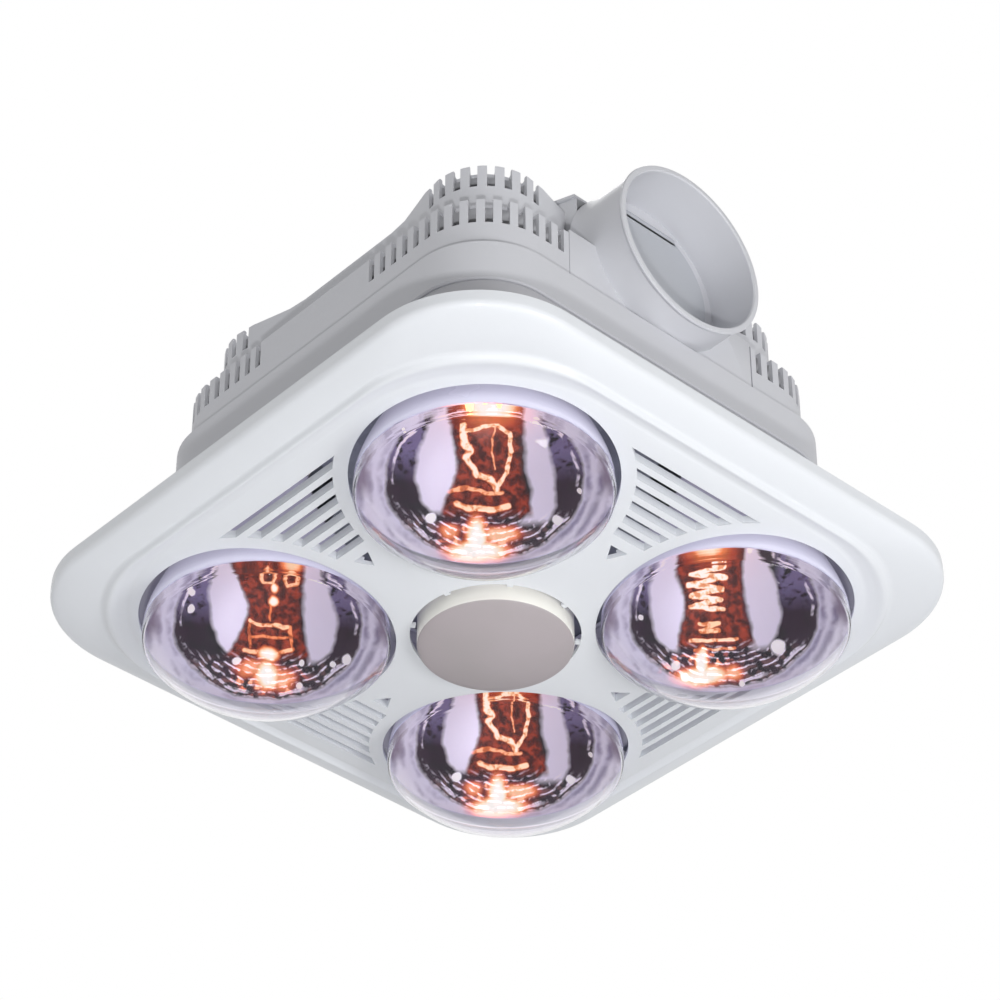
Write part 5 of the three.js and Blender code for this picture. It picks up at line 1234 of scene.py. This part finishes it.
def mirrorRows(points, place, bearing):  # place in the reflection painted on the mirror: across, and down the slant
    a, slant = math.radians(bearing), math.radians(lamp["slant"])
    rows = []
    for x, y, z in points:
        dx, dy = x - place[0], y - place[1]
        across = dx * math.sin(a) - dy * math.cos(a)
        away = abs(dx * math.cos(a) + dy * math.sin(a))
        drop = lamp["pictureTop"] - z * math.cos(slant) + away * math.sin(slant)
        rows.append((across / lamp["radius"], drop / lamp["radius"], 0))
    return rows


def buildLamp(number, place, bearing, look):
    outer, inner = bulbProfiles(lamp)
    points, faces = latheData(outer + inner[::-1], lamp["segments"], place)

    def side(centre, normal):
        if centre.z < lamp["mirrorFrom"]:
            return 0
        return 1 if (centre.x - place[0]) * normal.x + (centre.y - place[1]) * normal.y > 0 else 2
    rows = mirrorRows(points, place, bearing)
    paints = [faceGlass, silveredBackPaintedGlow, paintedMirrors[look]]
    bulb = makePiece(f"heatLampBulb{number}", points, faces, paints, side, 60, {"mirrorPlace": rows})
    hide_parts(f"lamp_glass_{number}")
    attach(bulb, f"heat_lamp_{number}")


filament = {
    "points": 7, "reach": 11, "sway": 3, "swayTurn": 1.9, "low": 24, "high": 36, "wire": 1.1,
    "stem": [(0, 56), (3.2, 57), (4.6, 62), (5, 72), (5, 82), (0, 82)], "root": 60, "leg": 0.7, "hook": 0.45,
}


def buildFilament(number, place, bearing):
    f = filament
    a = math.radians(bearing)
    right = (math.sin(a), -math.cos(a))

    def at(x, y, z):
        return (place[0] + right[0] * x - right[1] * y, place[1] + right[1] * x + right[0] * y, z)

    def sway(i):
        return f["sway"] * math.sin(i * f["swayTurn"])

    def wire(points, radius):
        return tubeData(spline(points, 4), radius, 6)
    zigzag = []
    for i in range(f["points"]):
        x = -f["reach"] + 2 * f["reach"] * i / (f["points"] - 1)
        zigzag.append(at(x, sway(i), f["low"] if i % 2 else f["high"]))
    coil = tubeData(spline(zigzag, 6), f["wire"], 8)
    stem = latheData(f["stem"], 24, place)
    root = at(0, 0, f["root"])
    legs = [wire([at(s * 2, 0, f["root"]), at(s * 9, 0, 48), at(s * f["reach"], 0, f["high"])], f["leg"])
            for s in (-1, 1)]
    hooks = [wire([root, at(x, 2, 46), at(x, sway(i), f["high"])], f["hook"])
             for i, x in ((2, -3.7), (4, 3.7))]
    points, faces, marks = together(coil, stem, *legs, *hooks)
    piece = makePiece(f"heatLampFilament{number}", points, faces, [hotCoil, stemPaintedGlow, stripSteel])
    for poly, mark in zip(piece.data.polygons, marks):
        poly.material_index = min(mark, 2)
    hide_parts(f"lamp_filament_{number}")
    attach(piece, f"heat_lamp_{number}")


cap = {"radius": 13.2, "length": 25.5, "threadDepth": 0.9, "turns": 5, "tip": 4.5}


def buildCap(name, cadNode, body, place, bottom, collar):
    c = cap
    tip, end = c["tip"], bottom + c["length"]
    profile = [(0, bottom), (collar, bottom), (collar - 0.3, bottom + 0.6), (c["radius"], bottom + 2.4)]
    run = c["length"] - 2.4 - 5
    steps = c["turns"] * 6
    for i in range(steps + 1):
        depth = c["threadDepth"] * 0.5 * (1 - math.cos(i * math.pi / 3))
        profile.append((c["radius"] - depth, bottom + 2.6 + run * i / steps))
    profile += [(c["radius"] - 2.5, end - 3.2), (tip + 1.5, end - 2), (tip, end - 0.8), (tip - 1, end),
                (0, end)]
    points, faces = latheData(profile, 40, place)
    piece = makePiece(name, points, faces, [capBrass], None, 50)
    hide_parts(cadNode)
    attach(piece, body)


lampPlaces = [(-81.3, -81.3), (81.3, -81.3), (81.3, 81.3), (-81.3, 81.3)]
lampBearings = (47.5, 43.6, 47.5, 51.4)
lampLooks = ("ring", "coil", "ring", "loops")
for n, (spot, bearing, look) in enumerate(zip(lampPlaces, lampBearings, lampLooks), 1):
    buildLamp(n, spot, bearing, look)
    buildFilament(n, spot, bearing)
    buildCap(f"heatLampCap{n}", f"lamp_cap_{n}", f"heat_lamp_{n}", spot, 82.3, 16.5)
print("heat lamps made")


# Centre lamp
globe = {
    "radius": 39.4, "apex": -44, "faceEdge": -37.3, "segments": 96, "wall": 1.2,
    "sides": [(39.4, -36.4), (39.4, -20), (38.3, -11), (35.6, -2.6), (31.4, 5.6), (26, 14), (20.8, 23),
              (17, 32), (14.5, 44)],
}


def frostedMaterial():
    m, t, inputs = bareMaterial("frostedFace", Roughness=0.55)
    coord = objectPlace(t)
    feed(t, inputs["Base Color"], mixColor(t, noise(t, coord, 30), srgb(184, 174, 178), srgb(172, 166, 166)))
    bump(t, inputs, noise(t, coord, 1500), 0.15, 0.05)
    return m


frostedFace = frostedMaterial()
globeCollar = plastic("globeCollar", srgb(246, 245, 237), rough=0.35, mottle=0.02)


def buildGlobe():
    g = globe
    sag = g["faceEdge"] - g["apex"]
    big = (g["radius"] ** 2 + sag ** 2) / (2 * sag)
    outer = []
    for i in range(13):
        r = (g["radius"] - 0.8) * i / 12
        outer.append((r, g["apex"] + big - math.sqrt(big * big - r * r)))
    outer += [(g["radius"] - 0.2, g["faceEdge"] + 0.2)]
    outer += spline(g["sides"], 3)
    inner = [(max(0, r - g["wall"]), z + (g["wall"] if i < 14 else 0)) for i, (r, z) in enumerate(outer)]
    inner[0] = (0, outer[0][1] + g["wall"])
    points, faces = latheData(outer + inner[::-1], g["segments"])

    def side(centre, normal):
        return 1 if centre.z > g["faceEdge"] + 0.3 else 0
    piece = makePiece("centreLampBulb", points, faces, [frostedFace, globeCollar], side, 50)
    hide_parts("globe_glass")
    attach(piece, "centre_lamp")
    buildCap("centreLampCap", "globe_cap", "centre_lamp", (0, 0), 44.3, 14.5)


buildGlobe()
print("centre lamp made")


# Fan wheel with its blades
fan = {"blades": 36, "outer": 57, "inner": 46, "bottom": 107, "top": 156, "plate": 1.6, "ringWidth": 7,
       "hub": 9, "hubHeight": 16, "shaft": 3.3, "lean": 0.61, "bladeThickness": 0.9, "bladeHalf": 6,
       "camber": 1.4, "bladeEnd": 0.8, "segments": 96}


def bladeTree():
    t, o, gout = newTree("fanBlades", {"Blades": 36, "Circle": 0.05, "Lean": 0.6})
    circle = circleOf(t, o["Blades"], o["Circle"])
    turn = stepTurn(t, math3(t, "DIVIDE", 2 * math.pi, o["Blades"]), o["Lean"])
    return giveOut(t, gout, instances(t, circle, o["Geometry"], turn), fanBlack)


def buildFan():
    f = fan
    half, thick = f["bladeHalf"], f["bladeThickness"] / 2
    blade = [(2 * half * k / 6 - half, f["camber"] * math.sin(math.pi * k / 6)) for k in range(7)]
    loop = [(x, y + thick) for x, y in blade] + [(x, y - thick) for x, y in blade[::-1]]
    ends = (f["bottom"] + f["bladeEnd"], f["top"] - f["bladeEnd"])
    wheel = makePiece("fanWheel", *prismData(loop, *ends), [fanBlack])
    values = {"Blades": f["blades"], "Circle": (f["outer"] + f["inner"]) / 2 * mm, "Lean": f["lean"]}
    applyTree(wheel, bladeTree(), values)
    top, out, low = f["top"], f["outer"], f["bottom"]
    under, hubLow = top - f["plate"], top - f["hubHeight"]
    disc = latheData([(f["shaft"], hubLow), (f["hub"], hubLow), (f["hub"] + 1, top - 4),
                      (f["hub"] + 4, under), (out, under), (out, top), (f["shaft"], top)], f["segments"])
    rim = latheData([(out - f["ringWidth"], low), (out - 0.4, low), (out, low + 0.4), (out, low + f["plate"]),
                     (out - f["ringWidth"], low + f["plate"])], f["segments"])
    points, faces, _ = together(disc, rim)
    joinTo(wheel, makePiece("fanDisc", points, faces, [fanBlack]))
    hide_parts("impeller")
    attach(wheel, "fan_rotor")


buildFan()
print("fan wheel made")

# Carried-over CAD nodes get their finishes
four = range(1, 5)
finishes = (
    (zincSheet, ["heat_shield", "fan_deck", "inlet_ring", "holder_bridge", "motor_plate", "motor_can"]
     + [f"holder_ring_{i}" for i in four]),
    (housingGrey, ["fan_scroll", "scroll_cover"]),
    (shaftSteel, ["flap_pin", "motor_shaft", "impeller_nut", "motor_rotor", "motor_bearing_lower",
                  "motor_bearing_upper"] + [f"frame_screw_{i}" for i in four]),
    (stripSteel, [f"fascia_spring_{i}" for i in four]),
    (windingCopper, ["motor_stator"]),
    (holderCeramic, ["globe_holder"] + [f"lamp_holder_{i}" for i in four]),
    (boxWhite, ["terminal_box", "terminal_box_cover", "terminal_block"]),
    (glandBlack, ["cable_gland"]),
)
for finish, names in finishes:
    for name in names:
        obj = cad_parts[name]
        if not obj.material_slots:
            obj.data.materials.append(finish)
        for s in obj.material_slots:
            s.material = finish
print("CAD finishes set")


# Floor, world and lamps: lengths in m, power in W
studio = {
    "floorLevel": -1.2, "floorHalf": 6.0, "floorColor": srgb(238, 238, 240), "worldFill": 0.42,
    # name, place, width and power of each lamp
    "lamps": (("frontLamp", (-0.862, -0.935, -1.129), 0.05, 8.5),
              ("sideLamp", (0.15, -1.35, -0.95), 0.5, 9.2),
              ("topLamp", (0.9, 1.0, 1.9), 0.9, 14)),
}


def buildStudio(s):
    floorMaterial = bareMaterial("paleFloor", **{"Base Color": s["floorColor"], "Roughness": 0.7})[0]
    h, z = s["floorHalf"] / mm, s["floorLevel"] / mm
    corners = [(-h, -h, z), (h, -h, z), (h, h, z), (-h, h, z)]
    floor = makePiece("studioFloor", corners, [(0, 1, 2, 3)], [floorMaterial])
    world = bpy.data.worlds.new("studioWorld")
    world.use_nodes = True
    bpy.context.scene.world = world
    t = world.node_tree
    back = t.nodes["Background"]
    back.inputs["Color"].default_value = (1, 1, 1, 1)
    path = node(t, "ShaderNodeLightPath").outputs
    seen = math3(t, "MAXIMUM", path["Is Camera Ray"], path["Is Glossy Ray"])
    seen = math3(t, "MAXIMUM", seen, path["Is Transmission Ray"])
    strength = math3(t, "MULTIPLY_ADD", seen, 1 - s["worldFill"], s["worldFill"])
    feed(t, back.inputs["Strength"], strength)
    for name, place, size, power in s["lamps"]:
        data = bpy.data.lights.new(name, "AREA")
        data.shape = "SQUARE"
        data.size = size
        data.energy = power
        lampObj = bpy.data.objects.new(name, data)
        lampObj.location = place
        lampObj.rotation_euler = (Vector((0, 0, 0.03)) - Vector(place)).to_track_quat("-Z", "Y").to_euler()
        bpy.context.scene.collection.objects.link(lampObj)


buildStudio(studio)
bpy.context.scene.view_settings.view_transform = "Standard"
print("studio set")
